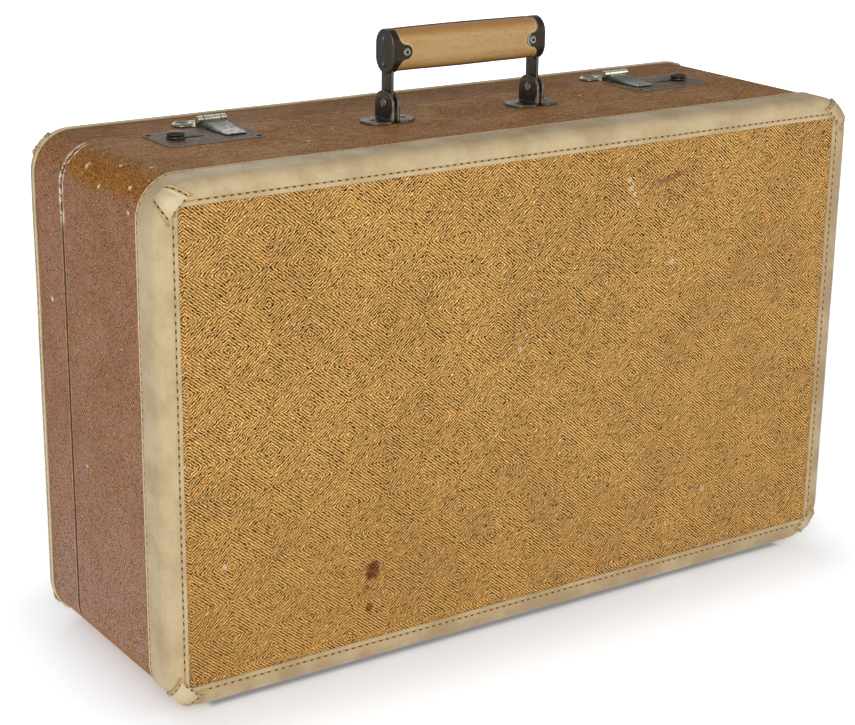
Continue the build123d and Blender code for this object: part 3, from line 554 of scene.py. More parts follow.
MATERIALS = {
    "face": face_cloth(),
    "side": side_cloth(),
    "binding": leathercloth("binding", (0.485, 0.374, 0.216), (0.39, 0.286, 0.15), 0.4),
    "back_binding": leathercloth("back_binding", (0.45, 0.35, 0.19), (0.3, 0.215, 0.095), 0.5),
    "patch": leathercloth("patch", (0.58, 0.475, 0.3), (0.44, 0.345, 0.19), 0.45),
    "thread": thread("thread", (0.56, 0.37, 0.11), (0.36, 0.21, 0.05)),
    # Near-black and almost without gloss: painted shade for the stitch holes.
    "hole": thread("stitch_hole_shade", (0.075, 0.034, 0.007), (0.125, 0.062, 0.014), 0, 0.05),
    "knot": thread("knot", (0.58, 0.29, 0.035), (0.36, 0.16, 0.022)),
    "gunmetal": worn_metal("gunmetal", (0.036, 0.03, 0.021), (0.46, 0.42, 0.34), 0.38, 0.75, edge_wear_and_highlight=0.75,
                           tarnish=(0.042, 0.026, 0.016), specular=0.3),
    "plate": worn_metal("plate", (0.15, 0.105, 0.07), (0.3, 0.24, 0.18), 0.55, 0.25, scratch=0.4,
                        tarnish=(0.078, 0.052, 0.034), specular=0.2),
    "leaf": worn_metal("leaf", (0.3, 0.29, 0.25), (0.85, 0.82, 0.72), 0.3, 1, edge_wear_and_highlight=0.95, scratch=0.15,
                       tarnish=(0.13, 0.118, 0.085), shaded_y=(15, 30)),
    "knob": worn_metal("knob", (0.02, 0.013, 0.007), (0.13, 0.1, 0.07), 0.3, 0.3,
                       tarnish=(0.032, 0.018, 0.01), specular=0.2),
    "nickel": worn_metal("nickel", (0.33, 0.305, 0.235), (0.86, 0.81, 0.68), 0.2, 1, edge_wear_and_highlight=0.9, scratch=0.1,
                         tarnish=(0.22, 0.2, 0.145)),
    "ring": worn_metal("ring", (0.3, 0.29, 0.28), (0.74, 0.73, 0.71), 0.28, 1, edge_wear_and_highlight=0.8,
                       tarnish=(0.17, 0.16, 0.15)),
    "steel": worn_metal("steel", (0.26, 0.23, 0.19), (0.5, 0.47, 0.42), 0.45, 0.9,
                        tarnish=(0.14, 0.095, 0.06)),
    "seam": worn_metal("seam", (0.035, 0.028, 0.022), (0.1, 0.085, 0.06), 0.6, 0),
    "leather": grip_leather(),
    "frame_wood": wood("frame_wood", (0.52, 0.36, 0.19), (0.34, 0.21, 0.1), (0.06, 1, 1)),
    "board": wood("board", (0.36, 0.25, 0.14), (0.27, 0.18, 0.095), (0.7, 1, 0.7), 0.85),
    "rail": wood("rail", (0.3, 0.165, 0.075), (0.17, 0.085, 0.04), (0.05, 1, 1), 0.5),
    "lining": lining_paper(),
}


# ---------------------------------------------------------------- mesh building

class Build:
    """Collects parts of one piece in mm and makes an object of them."""

    def __init__(self):
        self.verts, self.faces, self.slots, self.cloth = [], [], [], []

    def add(self, verts, faces, slot=0, marks=None, cloth=None):
        """Adds faces; what the cloth shaders read comes per vertex in marks, or per corner in cloth."""
        start = len(self.verts)
        self.verts.extend(tuple(map(float, vert)) for vert in verts)
        self.faces.extend([start + i for i in face] for face in faces)
        self.slots.extend([slot] * len(faces))
        self.cloth.extend(cloth or [[marks[i] if marks else NO_MARK for i in face] for face in faces])

    def mesh(self, name):
        mesh = bpy.data.meshes.new(name)
        mesh.from_pydata([Vector(vert) * MM for vert in self.verts], [], self.faces)
        return mesh

    def piece(self, name, body, materials, replaces=(), slot=None, smooth=35):
        mesh = self.mesh(name)
        mesh.polygons.foreach_set("material_index", self.slots)
        corners = [(*mark, 0)[:3] for face in self.cloth for mark in face]
        layer = mesh.attributes.new("cloth", "FLOAT_VECTOR", "CORNER")
        layer.data.foreach_set("vector", np.array(corners, np.float32).ravel())
        return finish_piece(mesh, name, body, materials, replaces, slot, smooth)


def new_object(name, data):
    made = bpy.data.objects.new(name, data)
    bpy.context.scene.collection.objects.link(made)
    return made


def finish_piece(mesh, name, body, materials, replaces=(), slot=None, smooth=35):
    """Object with even normals, its materials, its CAD body and the CAD nodes it stands for."""
    bm = bmesh.new()
    bm.from_mesh(mesh)
    bmesh.ops.recalc_face_normals(bm, faces=bm.faces)
    bm.to_mesh(mesh)
    bm.free()
    for key in materials:
        mesh.materials.append(MATERIALS[key])
    piece = new_object(name, mesh)
    mesh.shade_smooth()
    mesh.set_sharp_from_angle(angle=radians(smooth))
    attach(piece, body)
    if replaces:
        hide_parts(*replaces)
    return piece


def apply_modifiers(piece):
    bpy.context.view_layer.update()
    shaped = bpy.data.meshes.new_from_object(piece.evaluated_get(bpy.context.evaluated_depsgraph_get()))
    piece.modifiers.clear()
    piece.data = shaped


def grid_faces(rows, columns, wrap_rows=False, wrap_columns=False):
    faces = []
    for i in range(rows if wrap_rows else rows - 1):
        for j in range(columns if wrap_columns else columns - 1):
            a, b = i * columns, (i + 1) % rows * columns
            c, d = j, (j + 1) % columns
            faces.append((a + c, b + c, b + d, a + d))
    return faces


def tube_faces(rows, columns):
    """Faces of a tube with closed ends; a row is one round of it."""
    ends = [[start + j for j in range(columns)] for start in (0, (rows - 1) * columns)]
    return grid_faces(rows, columns, wrap_columns=True) + ends


def shell(build, top, bottom, rows, columns, marks=None):
    """Closed piece between two grids, with a band round their edges; marks are those of the top."""
    faces = grid_faces(rows, columns)
    last, count = (rows - 1) * columns, rows * columns
    rim = [i * columns for i in range(rows)] + [last + j for j in range(1, columns)]
    rim += [i * columns + columns - 1 for i in range(rows - 2, -1, -1)] + list(range(columns - 2, 0, -1))
    under = [[index + count for index in face] for face in faces]
    band = [(p, q, q + count, p + count) for p, q in zip(rim, rim[1:] + rim[:1])]
    build.add(top + bottom, faces + under + band, marks=marks and marks + [NO_MARK] * count)


def lathe(build, profile, origin, axis, segments=32, slot=0):
    """Turns a profile of (radius, height) about an axis through origin."""
    up = Vector(axis).normalized()
    side = up.orthogonal().normalized()
    other = up.cross(side)
    verts = []
    for k in range(segments):
        angle = tau * k / segments
        out = side * cos(angle) + other * sin(angle)
        verts.extend(Vector(origin) + out * radius + up * height for radius, height in profile)
    faces = grid_faces(segments, len(profile), wrap_rows=True)
    for end in (0, len(profile) - 1):
        faces.append([k * len(profile) + end for k in range(segments)])
    build.add(verts, faces, slot)


def tube(build, points, radius, segments=8, slot=0, flatten=1, up=(0, 1, 0)):
    """Round cord through the points, drawn in at its closed ends."""
    points = [Vector(p) for p in points]
    last = len(points) - 1
    angles = [tau * j / segments for j in range(segments)]
    verts = []
    for k, point in enumerate(points):
        run = (points[min(k + 1, last)] - points[max(k - 1, 0)]).normalized()
        side = run.cross(Vector(up)).normalized()
        lift = side.cross(run) * flatten
        reach = radius * (0.55 if k in (0, last) else 1)
        verts.extend(point + (side * cos(a) + lift * sin(a)) * reach for a in angles)
    build.add(verts, tube_faces(len(points), segments), slot)


def box(build, x, y, z, slot=0):
    corners = [(a, b, c) for a in sorted(x) for b in sorted(y) for c in sorted(z)]
    faces = [(0, 1, 3, 2), (4, 6, 7, 5), (0, 4, 5, 1), (2, 3, 7, 6), (0, 2, 6, 4), (1, 5, 7, 3)]
    build.add(corners, faces, slot)


def deck_box(u, y, heights, side=1):
    """Spans in x, y and z of a box at the deck, on one side of the case; heights are from the deck."""
    return [side * value for value in u], y, [DECK_Z + height for height in heights]


def cut_boxes(piece, boxes):
    """Cuts boxes of mm spans out of a piece."""
    cutter = Build()
    for spans in boxes:
        box(cutter, *spans)
    tool = new_object("cutter", cutter.mesh("cutter"))
    modifier = piece.modifiers.new("cut", "BOOLEAN")
    modifier.operation = "DIFFERENCE"
    modifier.object = tool
    modifier.solver = "EXACT"
    apply_modifiers(piece)
    bpy.data.objects.remove(tool)


def arc(centre, radius, start, stop, steps=8):
    """Points on an arc, angles in degrees."""
    angles = [radians(start + (stop - start) * k / steps) for k in range(steps + 1)]
    return [(centre[0] + radius * cos(a), centre[1] + radius * sin(a)) for a in angles]


def rounded_rectangle(u, v, radii):
    """Counter-clockwise outline between two u and two v values; radii run from the lower left corner."""
    (u0, u1), (v0, v1) = u, v
    a, b, c, d = radii
    return (arc((u0 + a, v0 + a), a, 180, 270) + arc((u1 - b, v0 + b), b, 270, 360)
            + arc((u1 - c, v1 - c), c, 0, 90) + arc((u0 + d, v1 - d), d, 90, 180))


def hole(centre, radius, steps=20):
    """Clockwise circle, for the inside of a sheet."""
    return list(reversed(arc(centre, radius, 0, 360 - 360 / steps, steps - 1)))


def running_lengths(points):
    """Distance along a path at each of its points."""
    steps = np.diff(np.array(points, float)[:, :2], axis=0)
    return [0, *np.cumsum(np.hypot(*steps.T))]


def sheet(name, body, materials, loops, thickness, bevel, shape, cuts=(), **rest):
    """Metal sheet with rounded edges: cut flat from loops of (u, v), then formed by shape(u, v, w).

    cuts holds lines, as (axis, values), along which the sheet is divided so that it can bend."""
    curve = bpy.data.curves.new(name, "CURVE")
    curve.dimensions = "2D"
    curve.fill_mode = "BOTH"
    curve.extrude = thickness / 2 - bevel
    curve.bevel_depth = bevel
    curve.bevel_resolution = 2
    curve.offset = -bevel
    for loop in loops:
        spline = curve.splines.new("POLY")
        spline.points.add(len(loop) - 1)
        for point, (u, v) in zip(spline.points, loop):
            point.co = (u, v, 0, 1)
        spline.use_cyclic_u = True
    blank = new_object(name + "_blank", curve)
    mesh = bpy.data.meshes.new_from_object(blank)
    bpy.data.objects.remove(blank)
    bm = bmesh.new()
    bm.from_mesh(mesh)
    bmesh.ops.remove_doubles(bm, verts=bm.verts, dist=0.001)
    for axis, values in cuts:
        for value in values:
            geometry = bm.verts[:] + bm.edges[:] + bm.faces[:]
            place = Vector(axis) * value
            bmesh.ops.bisect_plane(bm, geom=geometry, plane_co=place, plane_no=axis, dist=0.0001)
    for vertex in bm.verts:
        u, v, w = vertex.co
        vertex.co = Vector(shape(u, v, w + thickness / 2)) * MM
    bm.to_mesh(mesh)
    bm.free()
    mesh.attributes.new("cloth", "FLOAT_VECTOR", "CORNER")
    return finish_piece(mesh, name, body, materials, **rest)


# ---------------------------------------------------------------- case surfaces

def ring(inset, radius):
    """Round the case from the middle of the bottom: arrays of x, z and the outward normal."""
    mid_x, mid_z = LENGTH / 2 - inset - radius, HEIGHT / 2 - inset - radius
    rows = []
    for index, (side, end) in enumerate(((1, -1), (1, 1), (-1, 1), (-1, -1))):
        for k in range(CORNER_STEPS + 1):
            angle = radians(90 * (index - 1 + k / CORNER_STEPS))
            nx, nz = cos(angle), sin(angle)
            rows.append((side * mid_x + radius * nx, end * mid_z + radius * nz, nx, nz))
        x, z = rows[-1][:2]
        steps, run = (LONG_STEPS, 2 * mid_x) if index % 2 else (SHORT_STEPS, 2 * mid_z)
        rows += [(x - nz * run * k / steps, z + nx * run * k / steps, nx, nz) for k in range(1, steps)]
    rows = np.roll(np.array(rows), LONG_STEPS // 2, axis=0)
    rows[:, 1] += CENTRE_Z
    return rows


def wall_ring(inset):
    """The ring at an inset on the wall, ending where it starts."""
    rows = ring(inset, CORNER_RADIUS - inset)
    return np.vstack([rows, rows[:1]])


RING_LENGTHS = running_lengths(wall_ring(COVER_INSET))


def rim_radius(inset):
    """Corner radius at an inset: an even offset on the wall, squarer towards the window in the binding."""
    if inset <= EDGE_RADIUS:
        return CORNER_RADIUS - inset
    share = (inset - EDGE_RADIUS) / (WINDOW_INSET - EDGE_RADIUS)
    return (CORNER_RADIUS - EDGE_RADIUS) * (1 - share) + WINDOW_RADIUS * share


def ring_skin(build, half, profile, marks, sway, seed):
    """Closed skin running round the case; profile holds (inset, y) as on the base, with a mark for each."""
    profile = [(inset, FACING[half] * y) for inset, y in profile]
    columns = [ring(inset, max(rim_radius(inset), WINDOW_RADIUS)) for inset, _ in profile]
    verts = []
    for i in range(len(columns[0])):
        for column, (_, y) in zip(columns, profile):
            x, z, nx, nz = column[i]
            drift = sway * noise.noise(Vector((x * 0.02 + seed, y * 0.05, z * 0.02)))
            verts.append((x + nx * drift, y, z + nz * drift))
    faces = grid_faces(len(columns[0]), len(profile), wrap_rows=True, wrap_columns=True)
    cloth = []
    for u0, u1 in zip(RING_LENGTHS, RING_LENGTHS[1:]):
        cloth += [[(u0, v0), (u1, v0), (u1, v1), (u0, v1)] for v0, v1 in zip(marks, marks[1:] + marks[:1])]
    build.add(verts, faces, cloth=cloth)


def binding_profile(half):
    """(inset, y) round the section of the binding, as on the base, and a mark for each point.

    A mark is the distance from the hem, shifted beyond the hem so that it is STITCH_MARK at the stitches."""
    end = FACE_Y + BINDING_ON_SIDE[half]
    bend = (EDGE_RADIUS, FACE_Y + EDGE_RADIUS)
    hem = [(1.15, 0), (0.35, 0.05), (-0.2, 0.5), (-0.25, 1), (0.05, 1.6), (0.5, 2), (0.1, 2.6)]
    outer = [(inset, end - back) for inset, back in hem]
    outer += [(0, float(y)) for y in np.linspace(end - 3.4, bend[1], 4)]
    outer += arc(bend, EDGE_RADIUS, 180, 270)[1:]
    channel = [(10.5, -0.1), (12.6, -0.15), (13, 0.1), (STITCH_INSET, 0.42), (13.8, 0.12), (14.3, -0.05),
               (15.6, -0.02), (16.5, 0.12), (16.95, 0.45), (WINDOW_INSET, 0.95)]
    outer += [(inset, FACE_Y + depth) for inset, depth in channel]
    inner = [(inset, FACE_Y + BINDING_THICKNESS) for inset in (WINDOW_INSET - 0.2, 12, 8)]
    inner += arc(bend, EDGE_RADIUS - BINDING_THICKNESS, 270, 180, 5)[1:]
    inner.append((BINDING_THICKNESS, end - 1))
    distances = running_lengths(outer)
    at_stitch = distances[[inset for inset, _ in outer].index(STITCH_INSET)]
    marks = [value if value < 5.5 else value - at_stitch + STITCH_MARK for value in distances]
    return outer + inner, marks + [60] * len(inner)


def make_binding(half):
    material, seed = ("binding", 3) if half == "base" else ("back_binding", 8)
    build = Build()
    ring_skin(build, half, *binding_profile(half), sway=0.22, seed=seed)
    build.piece(f"{half}_binding_strip", half, [material], [f"{half}_binding"], "binding", smooth=50)


def make_side_cover(half):
    """Wall covering, rolled over the edge of the frame at the groove and turned inside."""
    roll = 1.5
    start = FACE_Y + EDGE_RADIUS
    mouth = FACING[half] * SPLIT_Y - GROOVE / 2
    profile = [(COVER_INSET, float(y)) for y in np.linspace(start, mouth - roll - 0.5, WALL_STEPS[half])]
    profile += arc((COVER_INSET + roll, mouth - roll), roll, 180, 90, 5)[1:]
    profile += [(6, mouth), (8.9, mouth)]
    marks = running_lengths(profile)
    back = [(8.9, mouth - 0.1), (4.5, mouth - 0.2), (2.02, mouth - 1.6), (2.02, start)]
    build = Build()
    ring_skin(build, half, profile + back, marks + [marks[-1]] * len(back), sway=0.16, seed=5)
    covered = [f"{half}_side_cover"]
    piece = build.piece(f"{half}_wall_cloth", half, ["side"], covered, "side_covering", smooth=50)
    if half == "base":
        for u, y in ((POCKET_U, POCKET_Y), (NOTCH_U, (POCKET_Y[1] - 1, 50))):
            cut_boxes(piece, [deck_box(u, y, (-12, 6), side) for side in (-1, 1)])


def make_face_cover(half):
    """Panel cloth, very slightly drummed, tucked under the binding."""
    inset = 12.5
    xs = np.linspace(-LENGTH / 2 + inset, LENGTH / 2 - inset, 61)
    zs = np.linspace(-HEIGHT / 2 + inset, HEIGHT / 2 - inset, 37)
    facing = FACING[half]
    outside = FACE_Y + COVER_INSET - 0.1
    front, back = [], []
    for x in xs:
        for z in zs:
            drummed = 0.18 * noise.noise(Vector((x * 0.008, 2 * facing, z * 0.008)))
            front.append((x, facing * (outside + drummed), z + CENTRE_Z))
            back.append((x, facing * (outside + 0.72), z + CENTRE_Z))
    build = Build()
    shell(build, front, back, len(xs), len(zs))
    build.piece(f"{half}_panel_cloth", half, ["face"], [f"{half}_face_cover"], "face_covering")


def wrap(x, z, lift, half):
    """Point of the rim above a point of the face plane laid out flat, so sheets can be bent over the edge.

    x and z are measured from the centre of the case; lift is the height above the binding."""
    radius = CORNER_RADIUS - EDGE_RADIUS
    over_x = max(abs(x) - (LENGTH / 2 - CORNER_RADIUS), 0)
    over_z = max(abs(z) - (HEIGHT / 2 - CORNER_RADIUS), 0)
    reach = hypot(over_x, over_z)
    beyond = reach - radius
    y = FACE_Y - lift
    if beyond > 0:
        angle = min(beyond / EDGE_RADIUS, pi / 2)
        inward = (beyond - (EDGE_RADIUS + lift) * sin(angle)) / reach
        x -= copysign(over_x, x) * inward
        z -= copysign(over_z, z) * inward
        down = max(beyond - EDGE_RADIUS * pi / 2, 0)
        y = FACE_Y + EDGE_RADIUS - (EDGE_RADIUS + lift) * cos(angle) + down
    return (x, FACING[half] * y, z + CENTRE_Z)


def corner_point(corner, a, b, lift, half):
    """Point of a corner patch; a and b are inward from the side and from the top or bottom edge."""
    return wrap(corner[0] * (LENGTH / 2 - a), corner[1] * (HEIGHT / 2 - b), lift, half)


def patch_place(u, v, half):
    """(a, b) on a patch: u runs from one welt to the other, v from the window outwards, both 0 to 1."""
    left, right = [[p + (q - p) * v for p, q in zip(*ends)] for ends in zip(PATCH_INNER, PATCH_OUTER[half])]
    return [p + (q - p) * u for p, q in zip(left, right)]


def patch_width(v, half):
    """Distance between the two welts."""
    (a, b), (c, d) = patch_place(0, v, half), patch_place(1, v, half)
    return hypot(c - a, d - b)


def patch_lift(edge, v):
    """Height of a patch above the binding: a welt of two ridges down each side, flat between them."""
    ridges = 1.15 * exp(-((edge - 0.9) / 0.75) ** 2) + 0.95 * exp(-((edge - 3.7) / 0.9) ** 2)
    seam = 0.45 * exp(-((edge - WELT_SEAM) / 0.6) ** 2)
    puff = 0.85 * min(1, max(0, edge - 4) / 4) * sin(pi * min(1, v * 1.1))
    fade = min(1, (1 - v) * 6) * min(1, 0.45 + v * 8)
    return 0.12 + fade * (0.55 + ridges - seam + puff)


def make_corner_patches(half):
    """Folded corner pieces with raised welts down both sides."""
    build = Build()
    steps_u, steps_v = 40, 22
    for corner in CORNERS:
        seed = RNG.uniform(0, 50)
        top, bottom, marks = [], [], []
        for i in range(steps_u + 1):
            for j in range(steps_v + 1):
                u, v = i / steps_u, j / steps_v
                a, b = patch_place(u, v, half)
                edge = min(u, 1 - u) * patch_width(v, half)
                rough = 0.25 * noise.noise(Vector((a * 0.25 + seed, b * 0.25, 0)))
                rim = i in (0, steps_u) or j in (0, steps_v)
                lift = 0.06 if rim else patch_lift(edge, v) + rough * min(1, edge / 3)
                top.append(corner_point(corner, a, b, lift, half))
                bottom.append(corner_point(corner, a, b, 0.02, half))
                # Where shade is painted: all round the patch, and fading inwards from its sides.
                outline = 1 if rim else 0.75 * exp(-(edge / 0.8) ** 2)
                marks.append((b, STITCH_MARK + edge - WELT_SEAM, outline))
        shell(build, top, bottom, steps_u + 1, steps_v + 1, marks)
    covered = [f"{half}_corner_patches"]
    build.piece(f"{half}_corner_covers", half, ["patch"], covered, "corner_patch", smooth=60)


def stitch_row(build, points, pitch, lift_at, weight=1):
    """Threads along a path, each with a dark slit of painted shade for its hole; lift_at gives the place at
    a height above a point of it.
    """
    lengths = running_lengths(points)
    count = max(1, round(lengths[-1] / pitch))
    spacing = lengths[-1] / count

    def above(distance, height):
        return lift_at([np.interp(distance, lengths, axis) for axis in zip(*points)], height)

    for index in range(count):
        start = index * spacing
        wander = RNG.uniform(-0.12, 0.12)
        outward = Vector(above(start, 1)) - Vector(above(start, 0))
        spine = [above(start + spacing * share, height * weight + wander) for share, height in THREAD_ARCH]
        tube(build, spine, THREAD_RADIUS * weight, 7, slot=0, up=outward)
        # The slit is a flat dark cord lying on the surface: painted shade for the stitch hole.
        slit_end = 0.98 + RNG.uniform(-0.06, 0.02)
        slit = [above(start + spacing * share, 0.04) for share in (0.54, 0.64, slit_end - 0.1, slit_end)]
        tube(build, slit, SLIT_RADIUS * weight, 8, slot=1, flatten=0.45, up=outward)


def stitch_runs(clear):
    """Straight runs of the front stitch line, one per side, stopping short of the corner patches."""
    half_x, half_z = LENGTH / 2 - STITCH_INSET, HEIGHT / 2 - STITCH_INSET
    xs = np.linspace(clear - half_x, half_x - clear, 41)
    zs = np.linspace(clear - half_z, half_z - clear, 41)
    level = [[(x, z) for x in xs] for z in (-half_z, half_z)]
    return level + [[(x, z) for z in zs] for x in (-half_x, half_x)]


def wall_stitches(build, half):
    """Row of stitches along the edge of the binding on the walls, all the way round."""
    rows = wall_ring(0.5)
    lengths = running_lengths(rows)
    y = FACING[half] * (FACE_Y + BINDING_ON_SIDE[half] - 2)

    def on_wall(point, height):
        x, z, nx, nz = (np.interp(point[0], lengths, column) for column in rows.T)
        return (x + nx * height, y, z + nz * height)

    stitch_row(build, [(0, 0), (lengths[-1], 0)], WALL_STITCH_PITCH, on_wall, 1.05)


def tie_knot(build, knot, size):
    """Three short ends of thread in a tangle."""
    for _ in range(3):
        nudge = Vector([RNG.uniform(-0.6, 0.6) for _ in range(3)])
        turn = Vector([RNG.uniform(-1, 1) for _ in range(3)]).normalized()
        tube(build, [Vector(knot) + nudge + turn * size * t for t in (-1, -0.4, 0.4, 1)], 0.6, 7, slot=2)


def patch_stitches(build, corner, half):
    """Rows down both welts of a patch and along its hem, with knots at the window."""
    def above(clearance):
        return lambda point, height: corner_point(corner, *point, height + clearance, half)

    welt = [(WELT_SEAM / patch_width(k / 10, half), k / 10) for k in range(9)]
    for line in (welt, [(1 - u, v) for u, v in welt]):
        stitch_row(build, [patch_place(u, v, half) for u, v in line], 4.4, above(0.65), 0.9)
    stitch_row(build, [patch_place(u / 10, 0.07, half) for u in range(2, 9)], 4.6, above(0.75), 0.8)
    for u, size in ((0.02, 1.6), (0.3, 0.9), (0.96, 0.9)):
        tie_knot(build, corner_point(corner, *patch_place(u, 0, half), 0.7, half), size)


def make_stitching(half):
    """Stitch rows of the binding and of the corner patches."""
    build = Build()
    for run in stitch_runs(15):
        stitch_row(build, run, STITCH_PITCH, lambda point, height: wrap(*point, height - 0.25, half))
    wall_stitches(build, half)
    for corner in CORNERS:
        patch_stitches(build, corner, half)
    build.piece(f"{half}_stitching", half, ["thread", "hole", "knot"], slot="binding")


# ---------------------------------------------------------------- handle

def section_stops(width, height):
    """Heights down one face of the grip, close together round the tongue of an end cap."""
    straight, radius = (height - width) / 2, width / 2
    low = asin((TONGUE_FLARE - straight) / radius)
    over = [straight + radius * sin(pi / 2 + (low - pi / 2) * k / 8) for k in range(8)]
    flare = [TONGUE_RADIUS + (TONGUE_FLARE - TONGUE_RADIUS) * (1 - sin(pi / 2 * k / 7)) for k in range(7)]
    tip = [TONGUE_RADIUS * cos(pi / 2 * k / 7) for k in range(7)]
    upper = over + flare + tip
    return upper + [0] + [-z for z in reversed(upper)]


def grip_section(width, height):
    """Closed section of the grip about its centre: (y, z, normal y, normal z)."""
    straight, radius = (height - width) / 2, width / 2
    front = []
    for z in section_stops(width, height):
        bend = min(max((abs(z) - straight) / radius, 0), 1)
        ny, nz = -sqrt(1 - bend * bend), copysign(bend, z)
        front.append((radius * ny, z, ny, nz))
    return front + [(-y, z, -ny, nz) for y, z, ny, nz in reversed(front[1:-1])]


def cap_edge(height):
    """Where an end cap stops, from the middle of the handle: a round tongue that flares into the band."""
    height = abs(height)
    if height < TONGUE_RADIUS:
        return TONGUE_X - sqrt(TONGUE_RADIUS ** 2 - height ** 2)
    share = min((height - TONGUE_RADIUS) / (TONGUE_FLARE - TONGUE_RADIUS), 1)
    return TONGUE_X + (CAP_BAND_X - TONGUE_X) * sqrt(1 - (1 - share) ** 2)


def make_grip():
    """Leather wrapped round the core, a little fuller in the middle, with its seam on top."""
    section = grip_section(CAP_WIDTH - 2.4, CAP_HEIGHT - 2.4)
    edge = [(cap_edge(z), z) for z in section_stops(CAP_WIDTH, CAP_HEIGHT)]
    near = np.linspace(46, 64.2, 27)
    xs = np.concatenate([-near[::-1], np.linspace(-43, 43, 30), near])
    verts, gaps = [], []
    for x in xs:
        full = 0.55 * cos(pi * x / GRIP_SPAN)
        for y, z, ny, nz in section:
            out = full + 0.25 * noise.noise(Vector((x * 0.05, y * 0.15, z * 0.15)))
            verts.append((x, y + ny * out, GRIP_Z + z + nz * out))
            gaps.append((min(hypot(abs(x) - a, z - b) for a, b in edge), 0))
    build = Build()
    build.add(verts, tube_faces(len(xs), len(section)), marks=gaps)
    build.piece("handle_grip_leather", "handle", ["leather"], ["handle_grip", "handle_core"], "grip_leather")
    seam = Build()
    top = GRIP_Z + CAP_HEIGHT / 2 - 1.15
    tube(seam, [(x, 3.4, top + 0.5 * cos(pi * x / GRIP_SPAN)) for x in np.linspace(-61, 61, 40)], 0.6)
    seam.piece("handle_grip_seam", "handle", ["seam"], slot="grip_leather")


def make_end_cap(name, side):
    """Pressed cup with a flat end, and a tongue on the front and back."""
    rounding = 0.7
    flat_end = CAP_END - rounding
    points = []
    for y, z, ny, nz in grip_section(CAP_WIDTH, CAP_HEIGHT):
        start = cap_edge(z)
        line = [(start, 1, -0.55), (start + 0.06, 1, -0.22), (start + 0.28, 1, 0)]
        line += [(x, 1, 0) for x in np.linspace(start + 0.5, flat_end, 8)]
        line += [(x, 1, push) for x, push in arc((flat_end, -rounding), rounding, 90, 0, 4)[1:]]
        line += [(CAP_END - 0.1, 0.86, 0), (CAP_END + 0.15, 0.5, 0), (CAP_END + 0.2, 0.12, 0)]
        for x, scale, push in line:
            points.append((side * x, y * scale + ny * push, GRIP_Z + z * scale + nz * push))
    rows, columns = len(points) // len(line), len(line)
    faces = grid_faces(rows, columns, wrap_rows=True) + [[i * columns + columns - 1 for i in range(rows)]]
    build = Build()
    build.add(points, faces)
    piece = build.piece(f"end_cap_{name}", "handle", ["gunmetal"], [f"handle_end_cap_{name}"], "dark_steel")
    wall = piece.modifiers.new("wall", "SOLIDIFY")
    wall.thickness = 0.7 * MM
    wall.offset = -1
    apply_modifiers(piece)


def make_link(name, side):
    """Strap from the pivot up into the end cap."""
    outline = rounded_rectangle((-7, 7), (7, 64.5), (6.9, 6.9, 6.9, 6.9))
    loops = [outline, hole((0, PIVOT_HEIGHT), 2.25)] + [hole((0, height), 1.15) for height in LINK_RIVETS]
    sheet(f"link_{name}", "handle", ["gunmetal"], loops, 2, 0.35,
          lambda u, v, w: (side * LINK_X + w - 1, u, DECK_Z + v),
          replaces=[f"handle_link_{name}"], slot="dark_steel")


def make_ear(name, side, where, direction):
    """Bracket ear: upright plate bent outwards into a rounded foot."""
    bend = 3
    turn = (bend - EAR_SHEET / 2) * pi / 2
    outline = rounded_rectangle((-12, 12), (bend - 20 - turn, 22.5 - bend), (11, 11, 9.8, 9.8))
    loops = [outline, hole((0, PIVOT_HEIGHT - bend), 2.3), hole((0, bend - 12 - turn), 1.2)]
    face_x = side * LINK_X + direction * 1.3

    def shape(u, v, w):
        angle = min(max(-v / turn, 0), 1) * pi / 2
        out = bend - (bend - w) * cos(angle) + max(-turn - v, 0)
        height = bend - (bend - w) * sin(angle) + max(v, 0)
        return (face_x + direction * out, u, DECK_Z + LIFT_OFF_DECK + height)

    cuts = [((0, 1, 0), [-turn * k / 6 for k in range(7)])]
    sheet(f"ear_{name}_{where}", "base", ["gunmetal"], loops, EAR_SHEET, 0.45, shape, cuts,
          replaces=[f"bracket_ear_{name}_{where}"], slot="dark_steel")


def make_rivet_heads():
    """Ring-headed rivets of the tongues, turned with a hollow middle."""
    build = Build()
    for side in (-1, 1):
        for direction in (-1, 1):
            place = (side * TONGUE_X, direction * CAP_WIDTH / 2, GRIP_Z)
            washer = [(2.2, -0.3), (2.2, 0.3), (2.5, 0.45), (2.85, 0.3), (3, 0), (3, -0.3)]
            eyelet = [(1.35, -4), (1.35, 0.35), (1.6, 0.75), (1.95, 0.8), (2.2, 0.5), (2.25, 0.2),
                      (2.25, -4)]
            lathe(build, washer, place, (0, direction, 0), 32, slot=1)
            lathe(build, eyelet, place, (0, direction, 0), 32)
    build.piece("tongue_rings", "handle", ["ring", "gunmetal"], ["handle_tongue_rivets"], "bright_rivet")


# ---------------------------------------------------------------- latches

def make_latch_plate(name, side):
    """Plate with cut corners, a slot for the knob and a notch for the hook."""
    (u0, u1), (v0, v1), (notch0, notch1) = PLATE_U, PLATE_Y, NOTCH_U
    cut = 2.6
    notch = [(notch1, v1), (notch1, NOTCH_START_Y), (notch0, NOTCH_START_Y), (notch0, v1)]
    outline = [(u0 + cut, v0), (u1 - cut, v0), (u1, v0 + cut), (u1, v1 - cut), (u1 - cut, v1), *notch,
               (u0 + cut, v1), (u0, v1 - cut), (u0, v0 + cut)]
    slot = arc(KNOB, 2.3, 90, -90) + arc((KNOB[0] - SLIDE_TRAVEL, KNOB[1]), 2.3, -90, -270)
    loops = [outline, slot] + [hole(nail, 1.2) for nail in PLATE_NAILS]
    sheet(f"plate_{name}", "base", ["plate"], loops, 1, 0.28,
          lambda u, v, w: (side * u, v, DECK_Z + LIFT_OFF_DECK + w * 0.95),
          replaces=[f"latch_plate_{name}"], slot="latch_steel")


